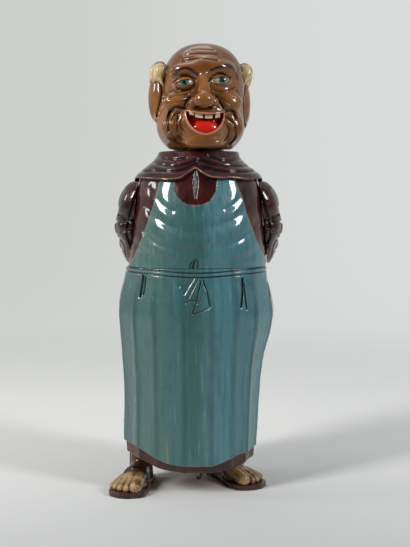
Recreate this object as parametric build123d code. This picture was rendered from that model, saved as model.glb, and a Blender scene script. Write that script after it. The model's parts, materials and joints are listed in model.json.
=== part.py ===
"""Carved wooden crank automaton: a bald, laughing cellarman in a habit and a bib apron.

Turning the crank at his back turns his head round. The crankshaft carries a lantern pinion, and the
upright spindle that carries the head wears a crown wheel whose pegs run between the pinion's staves.
All sizes are in millimetres. Z is up, the figure faces -Y, and X is to the right of someone facing it.
The model is drawn about the head spindle (x = y = 0, floor at z = 0). It is then moved so that its
origin is the middle of its bounding box, on the floor.
"""

from build123d import *
from collections import namedtuple
import math
import os

# ---------------------------------------------------------------- carved figure
hem_height = 15.5          # floor to the lowest part of the habit's hem
skirt_height = 133.5       # hem to waist
torso_height = 76.0        # waist to the top of the collar
cape_height = 25.0         # collar top down to where the cape's form starts, below its carved edge
cape_edge_below_collar = 18.8
cape_peak = 6.8            # rise of the cape's edge in front, over the neckline
head_height = 69.0         # flat underside to crown
head_yaw = 7.0             # degrees that the face looks to the right at rest
apron_relief = 1.6         # how far the apron stands proud of the habit
apron_back_reach = 13.0    # how far behind the spindle the apron wraps
underside_rise = 7.5       # underside of the block above the lowest hem
hem_wall = 7.0             # wood left round the recess in the underside
string_relief = 0.8        # apron string round the waist
string_width = 2.2

# ---------------------------------------------------------------- arms and feet
arm_seat_top = 37.5        # half width of the torso where the shoulders are glued
arm_seat_bottom = 47.0     # half width of the same flats at the waist
back_seat_top = 28.5       # back flat behind the spindle, under the cape
back_seat_bottom = 33.5    # the same flat at the waist
arm_top_below_collar = 19.4
sleeve_clearance = 0.5     # sleeve above the waist
hand_gap = 0.3
sole_thickness = 3.4
ankle_radius = 7.0
foot_left_place = (-39.5, -1.0)
foot_left_turn = -13.0
foot_right_place = (16.5, 14.0)
foot_right_turn = 33.0
dowel_radius = 3.0
dowel_depth = 8.0          # in each of the two pieces that it joins
waist_dowel_x = 30.0

# ---------------------------------------------------------------- head spindle
spindle_radius = 2.5
spindle_tail = 1.5         # end of the spindle above the floor
spindle_tip = 3.0          # length of its tapered end
spindle_in_head = 32.0
spindle_way = 4.5          # radius of the clear bore through the blocks
neck_disc_radius = 17.0
neck_disc_thickness = 2.2
felt_thickness = 0.5
felt_radius = 15.0
pin_radius = 0.75          # cross pins
running_gap = 0.3          # between faces that turn past each other
bearing_clearance = 0.05   # radial, shafts in their bushes
bush_wall = 1.8
flange_width = 2.5
flange_thickness = 1.2
washer_thickness = 1.0
neck_bush_length = 20.0

# ---------------------------------------------------------------- gear chamber and its cover
chamber_half_width = 24.0
chamber_front = 23.0       # front wall of the chamber, in front of the spindle
chamber_floor = 52.0
chamber_height = 60.0
cover_half_width = 29.0
cover_lap = 8.0            # cover past the chamber, above and below
cover_seat = 28.0          # seat of the cover, behind the spindle
cover_gap = 0.2
screw_radius = 1.4
screw_head_radius = 2.8
screw_head_thickness = 1.6
screw_bite = 8.0           # thread in the block
screw_x = 19.0

# ---------------------------------------------------------------- crown wheel and lantern pinion
crown_pegs_count = 18
pinion_staves_count = 9
crown_pitch_radius = 18.0
peg_radius = 1.1
peg_bite = 2.6             # how far the pegs reach below the top stave's centre
peg_seat = 4.0             # depth of the pegs in the wheel
stave_radius = 1.2
crown_rim = 3.0            # wood outside the pegs' circle
crown_thickness = 6.0
crown_over_staves = 2.0    # wheel's underside above the top stave's surface
hub_radius = 8.0
hub_height = 9.0
stave_free_length = 9.0
bobbin_flange = 3.0
bobbin_rim = 0.8           # wood outside the staves
bobbin_core_radius = 4.5
shaft_radius = 2.0
shaft_height = 76.0        # crankshaft above the floor
post_thickness = 5.0
post_half_width = 10.0
post_tenon = 6.0           # depth of its tenon in the chamber's floor
post_shoulder = 1.8        # front of the tenon behind the front of the post

# ---------------------------------------------------------------- crank
crank_throw = 28.0
crank_stand_off = 39.4     # near face of the crank arm behind the spindle
flange_face = 35.6         # seat of the rear bush's flange behind the spindle
arm_thickness = 6.0
arm_hub_radius = 8.0
arm_tip_radius = 5.5
nut_flats = 7.0
nut_thickness = 3.2
knob_length = 18.0
knob_radius = 6.5
knob_pin_radius = 1.5
knob_pin_head_radius = 3.0

# ---------------------------------------------------------------- places worked out from the sizes
waist = hem_height + skirt_height
collar = waist + torso_height
underside = hem_height + underside_rise
neck_disc_floor = collar + felt_thickness + running_gap
head_floor = neck_disc_floor + neck_disc_thickness
chamber_top = chamber_floor + chamber_height
pinion_pitch_radius = crown_pitch_radius * pinion_staves_count / crown_pegs_count
crown_floor = shaft_height + pinion_pitch_radius + stave_radius + crown_over_staves
bobbin_front = crown_pitch_radius - stave_free_length / 2 - bobbin_flange
bobbin_back = crown_pitch_radius + stave_free_length / 2 + bobbin_flange
bobbin_radius = pinion_pitch_radius + stave_radius + bobbin_rim
post_back = bobbin_front - running_gap - flange_thickness
post_front = post_back - post_thickness
arm_back = crank_stand_off + arm_thickness
arm_top = collar - arm_top_below_collar

Ring = namedtuple("Ring", "share left right front back")

# Outline of each block at shares of its height: reach to the left, right, front and back of the spindle.
skirt_rings = [
    Ring(0.00, 51.0, 39.5, 39.5, 36.5), Ring(0.14, 52.6, 40.6, 40.0, 36.5),
    Ring(0.30, 52.0, 41.8, 40.3, 36.5), Ring(0.57, 53.4, 45.9, 41.0, 36.8),
    Ring(0.69, 54.8, 50.6, 41.6, 37.0), Ring(0.775, 55.4, 52.0, 41.6, 37.0),
    Ring(0.865, 53.7, 49.7, 40.6, 36.8), Ring(0.93, 50.8, 46.8, 39.4, 36.6),
    Ring(1.00, 48.2, 45.4, 38.0, 36.4),
]
torso_rings = [
    Ring(0.00, 48.0, 45.2, 38.0, 36.4), Ring(0.10, 47.0, 45.6, 39.6, 35.8),
    Ring(0.30, 45.0, 44.6, 40.4, 34.6), Ring(0.50, 43.0, 43.0, 38.4, 33.0),
    Ring(0.70, 41.0, 41.0, 34.6, 31.6), Ring(0.86, 34.0, 34.0, 30.2, 28.0),
]
cape_rings = [
    Ring(0.00, 43.8, 43.8, 38.0, 35.0), Ring(0.24, 43.4, 43.2, 36.8, 34.2),
    Ring(0.40, 41.0, 41.0, 34.4, 32.4), Ring(0.56, 36.4, 36.0, 31.4, 30.0),
    Ring(0.72, 31.4, 30.8, 28.2, 27.6), Ring(0.88, 27.8, 27.6, 26.0, 25.8),
    Ring(1.00, 26.6, 26.8, 24.6, 24.6),
]
head_rings = [
    Ring(0.00, 19.5, 20.5, 23.0, 19.0), Ring(0.06, 23.0, 23.6, 28.6, 24.0),
    Ring(0.12, 26.6, 27.0, 32.4, 27.5), Ring(0.20, 29.6, 29.6, 34.4, 30.5),
    Ring(0.30, 30.6, 30.6, 34.0, 32.6), Ring(0.42, 29.6, 29.6, 32.4, 34.2),
    Ring(0.54, 28.0, 28.0, 31.0, 34.8), Ring(0.66, 27.2, 27.2, 31.0, 34.2),
    Ring(0.78, 25.4, 25.8, 28.6, 31.8), Ring(0.87, 21.6, 22.4, 24.0, 27.4),
    Ring(0.94, 15.6, 16.8, 17.4, 20.6), Ring(0.985, 8.0, 9.2, 9.0, 11.4),
    Ring(1.00, 3.0, 3.6, 3.4, 4.4),
]


# ---------------------------------------------------------------- shared shapes
def ring_face(ring, height, inset=0.0, folds=0.0, fold_count=11, squareness=2.25, points=32):
    """One closed outline, level at the given height, with shallow upright folds carved round it."""
    outline = []
    for i in range(points):
        turn = math.pi / 2 + 2 * math.pi * i / points
        across, deep = math.cos(turn), math.sin(turn)
        reach_x = (ring.right if across > 0 else ring.left) - inset
        reach_y = (ring.back if deep > 0 else ring.front) - inset
        fold = 1 + folds * math.cos(fold_count * turn)
        x = math.copysign(abs(across) ** (2 / squareness), across) * reach_x * fold
        y = math.copysign(abs(deep) ** (2 / squareness), deep) * reach_y * fold
        outline.append((x, y, height))
    return make_face(Spline(*outline, periodic=True).edge())


def stack(rings, floor, height, **shape):
    """A block lofted through its rings."""
    return loft([ring_face(ring, floor + ring.share * height, **shape) for ring in rings])


def upright_cylinder(radius, bottom, top, x=0.0, y=0.0):
    """A cylinder along Z between two heights."""
    return Pos(x, y, bottom) * Cylinder(radius, top - bottom, align=(Align.CENTER, Align.CENTER, Align.MIN))


def lying_cylinder(radius, near, far, x=0.0, z=shaft_height):
    """A cylinder along Y from near to far."""
    lying = Rot(-90, 0, 0) * Cylinder(radius, far - near, align=(Align.CENTER, Align.CENTER, Align.MIN))
    return Pos(x, near, z) * lying


def cross_cylinder(radius, left, right, y, z):
    """A cylinder along X from left to right."""
    lying = Rot(0, 90, 0) * Cylinder(radius, right - left, align=(Align.CENTER, Align.CENTER, Align.MIN))
    return Pos(left, y, z) * lying


def block(left, right, front, back, bottom, top):
    """A box between six planes."""
    centre = ((left + right) / 2, (front + back) / 2, (bottom + top) / 2)
    return Pos(*centre) * Box(right - left, back - front, top - bottom)


def ellipsoid(half_x, half_y, half_z):
    """A ball stretched to three half axes."""
    return scale(Sphere(1.0), by=(half_x, half_y, half_z))


def below_curve(points, depth_from, depth_to):
    """Everything under a curve drawn in the XZ plane, from one depth in Y to another."""
    low = min(z for _, z in points) - skirt_height
    top = Spline(*[(x, z) for x, z in points])
    first, last = points[0], points[-1]
    sides = Polyline((last[0], last[1]), (last[0], low), (first[0], low), (first[0], first[1]))
    sheet = Plane.XZ * make_face([top.edge(), *sides.edges()])
    solid = extrude(sheet, amount=depth_to - depth_from, dir=(0, 1, 0))
    return Pos(0, depth_from, 0) * solid


def flanged_bush(bore, length, flange_at_top=True):
    """A turned bush along Z from 0 to length, with its flange beyond one end."""
    body = Cylinder(bore + bush_wall, length, align=(Align.CENTER, Align.CENTER, Align.MIN))
    flange = Cylinder(bore + bush_wall + flange_width, flange_thickness,
                      align=(Align.CENTER, Align.CENTER, Align.MIN))
    body += Pos(0, 0, length if flange_at_top else -flange_thickness) * flange
    return body - Pos(0, 0, length / 2) * Cylinder(bore, 3 * length)


# ---------------------------------------------------------------- lower block
def hem_curve(rise):
    """The hem seen from the front, a given rise above its lowest part."""
    profile = [(-70, 9.5), (-46, 8.6), (-36, 5.8), (-24, 1.8), (0, 0.0), (22, 1.6), (36, 5.0), (70, 8.5)]
    return [(x, hem_height + rise + z) for x, z in profile]


def apron_hem_curve():
    """The apron's lower edge seen from the front: higher, and wavier where the folds end."""
    profile = [(-70, 18), (-46, 17.2), (-36, 15.6), (-26, 11.4), (-14, 6.6), (0, 5.8), (18, 6.2),
               (25, 9.0), (34, 10.0), (42, 12.2), (70, 13)]
    return [(x, hem_height + z) for x, z in profile]


def skirt_outer(inset):
    """The lower block's outside, with folds that fade out towards the waist."""
    faces = []
    for ring in skirt_rings:
        folds = 0.010 * (1 - ring.share)
        faces.append(ring_face(ring, hem_height + ring.share * skirt_height, inset=inset, folds=folds))
    return loft(faces)


def waist_string():
    """The apron string carved round the top of the lower block, as a raised band."""
    top = skirt_rings[-1]
    faces = [ring_face(top, waist - level, inset=-string_relief) for level in (string_width, 0.0)]
    return loft(faces)


def cover_window(gap=0.0):
    """The opening in the back that the cover fills, shrunk all round by a gap."""
    return block(-cover_half_width + gap, cover_half_width - gap, cover_seat, 3 * cover_seat,
                 chamber_floor - cover_lap + gap, chamber_top + cover_lap - gap)


def cover_screw_places():
    """Middle of each cover screw, at the four corners of the cover."""
    low, high = chamber_floor - cover_lap / 2, chamber_top + cover_lap / 2
    return [(x, z) for x in (-screw_x, screw_x) for z in (low, high)]


def leg_places():
    """Where each foot stands and how far it is turned out."""
    return [(foot_left_place, foot_left_turn), (foot_right_place, foot_right_turn)]


def carved_lower_block():
    """Habit and apron as one carved form, before anything is bored or cut away."""
    habit = skirt_outer(apron_relief)
    apron = skirt_outer(0.0) - below_curve(apron_hem_curve(), -200, 200)
    apron -= block(-200, 200, apron_back_reach, 200, 0, 2 * waist)
    whole = habit + apron + waist_string()
    return whole - below_curve(hem_curve(0.0), -200, 200)


def make_skirt(carved):
    """The lower block, hollowed for the gears and recessed underneath for the legs."""
    recess = ring_face(skirt_rings[0], hem_height - 1, inset=hem_wall + apron_relief)
    skirt = carved - extrude(recess, amount=underside_rise + 1)
    skirt -= block(-chamber_half_width, chamber_half_width, -chamber_front, 3 * cover_seat,
                   chamber_floor, chamber_top)
    skirt -= cover_window()
    skirt -= upright_cylinder(spindle_way, chamber_top - 1, waist + 1)
    skirt -= upright_cylinder(spindle_radius + bush_wall + bearing_clearance, underside - 1, chamber_floor + 1)
    skirt -= post_tenon_block(chamber_floor + 1)
    for x, z in cover_screw_places():
        skirt -= lying_cylinder(screw_radius, cover_seat - screw_bite, cover_seat + 1, x, z)
    for (x, y), _ in leg_places():
        skirt -= upright_cylinder(dowel_radius, underside - 1, underside + dowel_depth, x, y)
    for x in (-waist_dowel_x, waist_dowel_x):
        skirt -= upright_cylinder(dowel_radius, waist - dowel_depth, waist + 1, x)
    return glued_boards(skirt)


def glued_boards(lower_block):
    """The lower block as the boards it is glued up from round the gear chamber: base, top, front and sides."""
    far = 4 * skirt_height
    rooms = [block(-far, far, -far, far, 0, chamber_floor),
             block(-far, far, -far, far, chamber_top, waist),
             block(-far, far, -far, -chamber_front, chamber_floor, chamber_top),
             block(-far, -chamber_half_width, -chamber_front, far, chamber_floor, chamber_top),
             block(chamber_half_width, far, -chamber_front, far, chamber_floor, chamber_top)]
    return Compound([solid for room in rooms for solid in (lower_block & room).solids()])


def make_back_cover(carved):
    """The piece sawn from the back that closes the gear chamber, bored for the crankshaft."""
    cover = carved & cover_window(cover_gap)
    cover -= lying_cylinder(shaft_radius + bearing_clearance + bush_wall, cover_seat - 1, 3 * cover_seat)
    cover -= lying_cylinder(arm_hub_radius, flange_face, 3 * cover_seat)
    for x, z in cover_screw_places():
        cover -= lying_cylinder(screw_radius, cover_seat - 1, 3 * cover_seat, x, z)
        cover -= lying_cylinder(screw_head_radius + cover_gap, screw_seat(), 3 * cover_seat, x, z)
    return cover


def screw_seat():
    """Depth at which the cover screws' heads bear, sunk below the carved back."""
    return flange_face - 2 * screw_head_thickness


def make_cover_screws():
    """Four slotted wood screws that hold the cover."""
    screws = []
    for x, z in cover_screw_places():
        screw = lying_cylinder(screw_radius, cover_seat - screw_bite, screw_seat(), x, z)
        screw += lying_cylinder(screw_head_radius, screw_seat(), screw_seat() + screw_head_thickness, x, z)
        slot_back = screw_seat() + screw_head_thickness
        screw -= block(x - 2 * screw_head_radius, x + 2 * screw_head_radius,
                       slot_back - screw_head_thickness / 2, slot_back + 1, z - 0.35, z + 0.35)
        screws.append(screw)
    return Compound(screws)


# ---------------------------------------------------------------- upper block
def arm_seats():
    """Everything inside the flats that the arms are glued to: it widens from the cape to the waist."""
    reach = 3 * arm_seat_bottom
    sides = Polyline((-arm_seat_bottom, waist), (arm_seat_bottom, waist), (arm_seat_top, collar),
                     (-arm_seat_top, collar), close=True)
    across = extrude(Plane.XZ * make_face(sides.edges()), amount=reach, both=True)
    rear = Polyline((-reach, waist), (back_seat_bottom, waist), (back_seat_top, collar), (-reach, collar),
                    close=True)
    deep = extrude(Plane.YZ * make_face(rear.edges()), amount=reach, both=True)
    return across & deep


def make_cape():
    """The habit's short cape: lofted up to the collar, its lower edge peaked in front over the placket."""
    cape = stack(cape_rings, collar - cape_height, cape_height)
    edge = collar - cape_edge_below_collar
    peak = (-1.7, edge + cape_peak)
    left = [(-70, edge + 1.6), (-43, edge + 1.4), (-30, edge + 0.4), (-17, edge), (-8, edge + 2.4), peak]
    right = [peak, (5, edge + 2.4), (13, edge + 0.6), (22, edge + 0.9), (30, edge + 0.3), (43, edge + 1.0),
             (70, edge + 1.4)]
    behind = [(-70, edge + 1.6), (-43, edge + 1.4), (-22, edge + 0.8), (0, edge), (22, edge + 0.8),
              (43, edge + 1.0), (70, edge + 1.4)]
    cape -= below_curve(left, -200, 0)
    cape -= below_curve(right, -200, 0)
    return cape - below_curve(behind, 0, 200)


def make_torso():
    """The upper block: chest, flats for the arms, cape and collar, bored for the spindle."""
    chest = stack(torso_rings, waist, torso_height) & arm_seats()
    torso = chest + make_cape()
    torso -= upright_cylinder(spindle_way, waist - 1, collar + 1)
    torso -= upright_cylinder(spindle_radius + bearing_clearance + bush_wall + flange_width,
                              collar - flange_thickness, collar + 1)
    for x in (-waist_dowel_x, waist_dowel_x):
        torso -= upright_cylinder(dowel_radius, waist - 1, waist + dowel_depth, x)
    return torso - make_arm_dowels()


def make_waist_dowels():
    """Two dowels that locate the upper block on the lower one."""
    places = (-waist_dowel_x, waist_dowel_x)
    return Compound([upright_cylinder(dowel_radius, waist - dowel_depth, waist + dowel_depth, x)
                     for x in places])


def make_arm_dowels():
    """One dowel through each shoulder joint."""
    z = arm_top - 2.5 * dowel_radius
    share = (z - waist) / torso_height
    seat = arm_seat_bottom + (arm_seat_top - arm_seat_bottom) * share
    return Compound([cross_cylinder(dowel_radius, side * seat - dowel_depth, side * seat + dowel_depth, 2, z)
                     for side in (-1, 1)])


def make_leg_dowels():
    """One dowel up from each foot into the lower block."""
    return Compound([upright_cylinder(dowel_radius, underside - dowel_depth, underside + dowel_depth, x, y)
                     for (x, y), _ in leg_places()])


# ---------------------------------------------------------------- arms
Blob = namedtuple("Blob", "x y z half_x half_y")
upper_arm_blobs = [      # level ovals down the right arm; z is below the top of the shoulder
    Blob(39.5, 1.0, 0.0, 8.0, 11.5), Blob(41.0, 1.5, 6.5, 9.0, 13.0), Blob(43.8, 3.5, 16.0, 10.4, 14.5),
    Blob(45.8, 6.5, 26.0, 11.4, 15.0), Blob(46.2, 10.0, 36.0, 10.6, 15.0), Blob(45.0, 13.5, 46.0, 8.8, 13.0),
    Blob(44.6, 16.0, 56.5, 5.0, 9.0),
]
Cuff = namedtuple("Cuff", "x y z turn thick tall")
forearm_cuffs = [        # upright ovals round the right forearm; z is above the waist
    Cuff(46.0, 14.0, 15.5, 96, 9.0, 14.0), Cuff(43.0, 28.5, 15.0, 124, 9.2, 13.5),
    Cuff(30.5, 38.0, 14.5, 155, 8.8, 12.6), Cuff(15.0, 41.0, 14.0, 172, 8.2, 11.5),
]


def sleeve():
    """The right sleeve: shoulder to elbow as level ovals, elbow to cuff as upright ones."""
    levels = []
    for blob in upper_arm_blobs:
        oval = Ellipse(blob.half_x, blob.half_y)
        levels.append(Pos(blob.x, blob.y, arm_top - blob.z) * oval)
    turns = []
    for cuff in forearm_cuffs:
        turn = math.radians(cuff.turn)
        along = Plane(origin=(cuff.x, cuff.y, waist + cuff.z), z_dir=(math.cos(turn), math.sin(turn), 0),
                      x_dir=(-math.sin(turn), math.cos(turn), 0))
        turns.append(along * Ellipse(cuff.thick, cuff.tall))
    return loft(levels), loft(turns)


def hand():
    """The right hand: a palm and four curled fingers, up to the middle of the back."""
    z = waist + forearm_cuffs[-1].z
    y = forearm_cuffs[-1].y
    palm = Pos(10.0, y, z) * ellipsoid(12.5, 5.4, 8.0)
    for i, level in enumerate((-5.4, -1.9, 1.7, 5.2)):
        finger = Pos(4.6 + 0.5 * i, y + 4.4, z + level) * ellipsoid(5.2, 3.0, 2.1)
        palm += finger
    return palm - block(-200, hand_gap / 2, -200, 200, -200, 400)


def make_right_arm():
    """One arm with its hand, cut to the torso's flats, below the cape and above the waist."""
    upper, lower = sleeve()
    cuff_mouth = forearm_cuffs[-1]
    hollow = Pos(cuff_mouth.x, cuff_mouth.y + 0.5, waist + cuff_mouth.z) * ellipsoid(4.0, 6.6, 9.4)
    arm = upper + (lower - hollow) + hand()
    arm -= arm_seats()
    arm -= block(-200, 200, -200, 200, arm_top, arm_top + 200)
    arm -= block(-200, 200, -200, 200, waist - 200, waist + sleeve_clearance)
    return arm - make_arm_dowels()


# ---------------------------------------------------------------- feet
Step = namedtuple("Step", "y half_width top")
foot_steps = [Step(10.0, 5.0, 12.0), Step(3.0, 7.4, 17.0), Step(-8.0, 8.2, 16.5), Step(-19.0, 9.6, 12.6),
              Step(-29.0, 10.6, 9.4), Step(-34.0, 10.4, 7.0)]
toe_rows = [(6.4, -34.0, 3.7), (1.2, -35.5, 2.6), (-3.2, -34.5, 2.5), (-7.2, -32.5, 2.4), (-10.4, -29.5, 2.2)]


def foot_form(swell=0.0):
    """The right foot's arch from heel to toes, standing on the floor and facing -Y."""
    faces = []
    for step in foot_steps:
        face = Plane(origin=(0, step.y, 0), z_dir=(0, -1, 0), x_dir=(1, 0, 0))
        wide, top = step.half_width + swell, step.top + swell
        outline = Spline((-wide, 0), (-0.86 * wide, 0.62 * top), (0, top), (0.86 * wide, 0.62 * top), (wide, 0))
        faces.append(face * make_face([outline.edge(), Line((wide, 0), (-wide, 0)).edge()]))
    return loft(faces)


def make_foot(place, turn, mirrored):
    """A carved foot in its sandal: sole, arch, five toes, strap and the ankle that meets the block."""
    sole_points = [(0, 13.5), (7.4, 9.0), (9.2, -6.0), (12.4, -24.0), (11.2, -37.0), (3.5, -41.5),
                   (-6.0, -40.0), (-12.6, -33.0), (-12.4, -22.0), (-9.0, -6.0), (-7.4, 9.0)]
    sole = extrude(make_face(Spline(*sole_points, periodic=True).edge()), amount=sole_thickness)
    foot = foot_form()
    for x, y, radius in toe_rows:
        toe = Pos(x, y, sole_thickness + radius * 0.9) * ellipsoid(radius, radius * 2.0, radius * 1.05)
        foot += toe
    strap = foot_form(swell=0.9) & block(-30, 30, -18.5, -12.5, sole_thickness - 0.5, 60)
    cuff = foot_form(swell=0.9) & block(-30, 30, 1.0, 5.0, sole_thickness - 0.5, 60)
    ankle = upright_cylinder(ankle_radius, sole_thickness, underside)
    foot += strap
    foot += cuff
    foot += ankle
    foot = foot & block(-60, 60, -60, 60, sole_thickness / 2, underside)
    foot += sole
    if mirrored:
        foot = mirror(foot, about=Plane.YZ)
    foot = Pos(*place, 0) * Rot(0, 0, turn) * foot
    return foot - make_leg_dowels()


# ---------------------------------------------------------------- head
def mouth_outline(grow=0.0):
    """The laughing mouth seen from the front: a flat smile above and a deep bow below."""
    corner = 12.4 + grow
    upper = Spline((-corner, 21.5), (-6, 20.2 + grow), (0, 19.8 + grow), (6, 20.2 + grow), (corner, 21.5))
    lower = Spline((corner, 21.5), (9.4 + grow, 13.0), (0, 7.8 - grow), (-9.4 - grow, 13.0), (-corner, 21.5))
    return Plane.XZ * make_face([upper.edge(), lower.edge()])


def make_head():
    """The head: skull and jaw, nose, brows, cheeks, ears, wreath of hair, and an open mouth with teeth."""
    skull = stack(head_rings, 0, head_height, squareness=2.15)
    nose = Pos(0, -34.0, 34.0) * Rot(-14, 0, 0) * ellipsoid(4.6, 6.0, 12.5)
    nose += Pos(0, -38.5, 28.6) * ellipsoid(5.8, 5.6, 5.0)
    face = skull + nose
    for side in (-1, 1):
        face += Pos(side * 7.2, -34.0, 27.6) * ellipsoid(4.2, 5.0, 4.0)
        face += Pos(side * 19.5, -24.5, 27.0) * Rot(0, 0, side * 34) * ellipsoid(8.6, 6.4, 9.0)
        face += Pos(side * 13.5, -27.6, 49.0) * Rot(0, side * 12, side * 20) * ellipsoid(9.4, 4.6, 2.8)
        face -= Pos(side * 13.2, -34.6, 41.6) * Rot(0, 0, side * 22) * ellipsoid(7.6, 5.6, 4.2)
        face += Pos(side * 13.0, -27.2, 41.6) * ellipsoid(5.6, 4.8, 3.4)
        face += ear(side)
        face += Pos(side * 26.5, 6.0, 49.0) * Rot(0, side * 18, 0) * ellipsoid(7.0, 12.5, 8.6)
    face += hair_wreath()
    face += Pos(0, -29.0, 4.6) * ellipsoid(9.6, 6.0, 4.2)
    mouth = extrude(mouth_outline(), amount=70, dir=(0, -1, 0))
    face -= Pos(0, -27.0, 0) * mouth
    teeth = [Pos(x, -30.8, 18.6) * Box(4.2, 3.2, 3.0) for x in (-7.0, -2.4, 2.4, 7.0)]
    for tooth in teeth:
        face += tooth
    face = face & block(-60, 60, -60, 60, 0, head_height)
    face -= upright_cylinder(spindle_radius, -1, spindle_in_head)
    return Pos(0, 0, head_floor) * Rot(0, 0, head_yaw) * face


def ear(side):
    """One long ear, with its bowl hollowed out."""
    shell = ellipsoid(3.4, 8.0, 15.0) - Pos(side * 3.4, -1.5, 1.5) * ellipsoid(2.4, 4.8, 9.6)
    return Pos(side * 30.0, 2.0, 31.0) * Rot(0, side * 6, side * -22) * shell


def hair_wreath():
    """The low wreath of hair that runs round the back of the head from ear to ear."""
    rings = [Ring(0.26, 29.6, 29.6, 20, 33.4), Ring(0.40, 31.2, 31.2, 20, 36.4), Ring(0.56, 30.8, 30.8, 20, 37.2),
             Ring(0.70, 28.4, 28.4, 20, 35.0)]
    wreath = stack(rings, 0, head_height, squareness=2.15)
    return wreath - block(-60, 60, -60, 4.0, -10, 100)


def make_neck_disc():
    """The dark turned disc between the collar and the head."""
    disc = upright_cylinder(neck_disc_radius, neck_disc_floor, head_floor)
    return disc - upright_cylinder(spindle_radius, neck_disc_floor - 1, head_floor + 1)


# ---------------------------------------------------------------- head spindle
def crown_pin_height():
    """Height of the cross pin that fixes the crown wheel to the spindle."""
    return crown_floor + crown_thickness + hub_height / 2


def split_pin_height():
    """Height of the split pin that keeps the spindle from lifting out."""
    return underside - flange_thickness - running_gap - washer_thickness - running_gap - pin_radius


def make_head_spindle():
    """The steel spindle from just above the floor up into the head, with a tapered tail."""
    rod = upright_cylinder(spindle_radius, spindle_tail + spindle_tip, head_floor + spindle_in_head)
    tail = Pos(0, 0, spindle_tail) * Cone(spindle_radius * 0.5, spindle_radius, spindle_tip,
                                          align=(Align.CENTER, Align.CENTER, Align.MIN))
    rod += tail
    reach = 3 * spindle_radius
    rod -= cross_cylinder(pin_radius, -reach, reach, 0, crown_pin_height())
    return rod - cross_cylinder(pin_radius, -reach, reach, 0, split_pin_height())


def crown_peg_places():
    """Places of the crown wheel's pegs, set half a pitch either side of the top stave."""
    pitch = 360 / crown_pegs_count
    turns = [math.radians(90 + pitch / 2 + pitch * i) for i in range(crown_pegs_count)]
    return [(crown_pitch_radius * math.cos(turn), crown_pitch_radius * math.sin(turn)) for turn in turns]


def make_crown_wheel():
    """The turned wheel on the spindle, bored from below for its pegs, with a hub above."""
    wheel = upright_cylinder(crown_pitch_radius + crown_rim, crown_floor, crown_floor + crown_thickness)
    wheel = chamfer(wheel.edges().filter_by(GeomType.CIRCLE), crown_rim / 4)
    wheel += upright_cylinder(hub_radius, crown_floor + crown_thickness, crown_floor + crown_thickness + hub_height)
    wheel -= upright_cylinder(spindle_radius, crown_floor - 1, crown_floor + crown_thickness + hub_height + 1)
    wheel -= cross_cylinder(pin_radius, -2 * hub_radius, 2 * hub_radius, 0, crown_pin_height())
    for x, y in crown_peg_places():
        wheel -= upright_cylinder(peg_radius, crown_floor - 1, crown_floor + peg_seat, x, y)
    return wheel


def make_crown_pegs():
    """The pegs, with rounded lower ends, pressed into the wheel."""
    low = shaft_height + pinion_pitch_radius - peg_bite
    pegs = []
    for x, y in crown_peg_places():
        peg = upright_cylinder(peg_radius, low, crown_floor + peg_seat, x, y)
        pegs.append(fillet(peg.edges().sort_by(Axis.Z)[0], peg_radius * 0.6))
    return Compound(pegs)


def make_split_pin():
    """A split pin with its eye on one side and its two legs spread on the other."""
    z = split_pin_height()
    reach = spindle_radius + 2.5
    pin = cross_cylinder(pin_radius, -reach, reach, 0, z)
    pin += Pos(-reach - pin_radius, 0, z) * Torus(2 * pin_radius, 0.8 * pin_radius)
    for side in (-1, 1):
        leg = Rot(0, 90, side * 38) * Cylinder(pin_radius * 0.7, 4.0, align=(Align.CENTER, Align.CENTER, Align.MIN))
        pin += Pos(reach - pin_radius, side * 0.15, z) * leg
    return pin


def ring_washer(outer, bore, thickness):
    """A flat washer on its own floor."""
    washer = Cylinder(outer, thickness, align=(Align.CENTER, Align.CENTER, Align.MIN))
    return washer - Cylinder(bore, 3 * thickness)


# ---------------------------------------------------------------- crankshaft
def stave_places():
    """Places of the pinion's staves round the crankshaft, the first one on top."""
    turns = [2 * math.pi * i / pinion_staves_count for i in range(pinion_staves_count)]
    return [(pinion_pitch_radius * math.sin(turn), shaft_height + pinion_pitch_radius * math.cos(turn))
            for turn in turns]


def make_bobbin():
    """The pinion's turned bobbin: two flanges on a core, bored for the staves and the shaft."""
    bobbin = lying_cylinder(bobbin_core_radius, bobbin_front, bobbin_back)
    bobbin += lying_cylinder(bobbin_radius, bobbin_front, bobbin_front + bobbin_flange)
    bobbin += lying_cylinder(bobbin_radius, bobbin_back - bobbin_flange, bobbin_back)
    bobbin -= lying_cylinder(shaft_radius, bobbin_front - 1, bobbin_back + 1)
    bobbin -= cross_cylinder(pin_radius, -2 * bobbin_core_radius, 2 * bobbin_core_radius,
                             crown_pitch_radius, shaft_height)
    for x, z in stave_places():
        bobbin -= lying_cylinder(stave_radius, bobbin_front - 1, bobbin_back + 1, x, z)
    return bobbin


def make_staves():
    """The pinion's round staves, through both flanges."""
    return Compound([lying_cylinder(stave_radius, bobbin_front, bobbin_back, x, z)
                     for x, z in stave_places()])


def make_crank_shaft():
    """The crankshaft, from just behind the spindle out to the crank's nut."""
    shaft = lying_cylinder(shaft_radius, post_front, arm_back + nut_thickness)
    return shaft - cross_cylinder(pin_radius, -3 * shaft_radius, 3 * shaft_radius,
                                  crown_pitch_radius, shaft_height)


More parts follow.
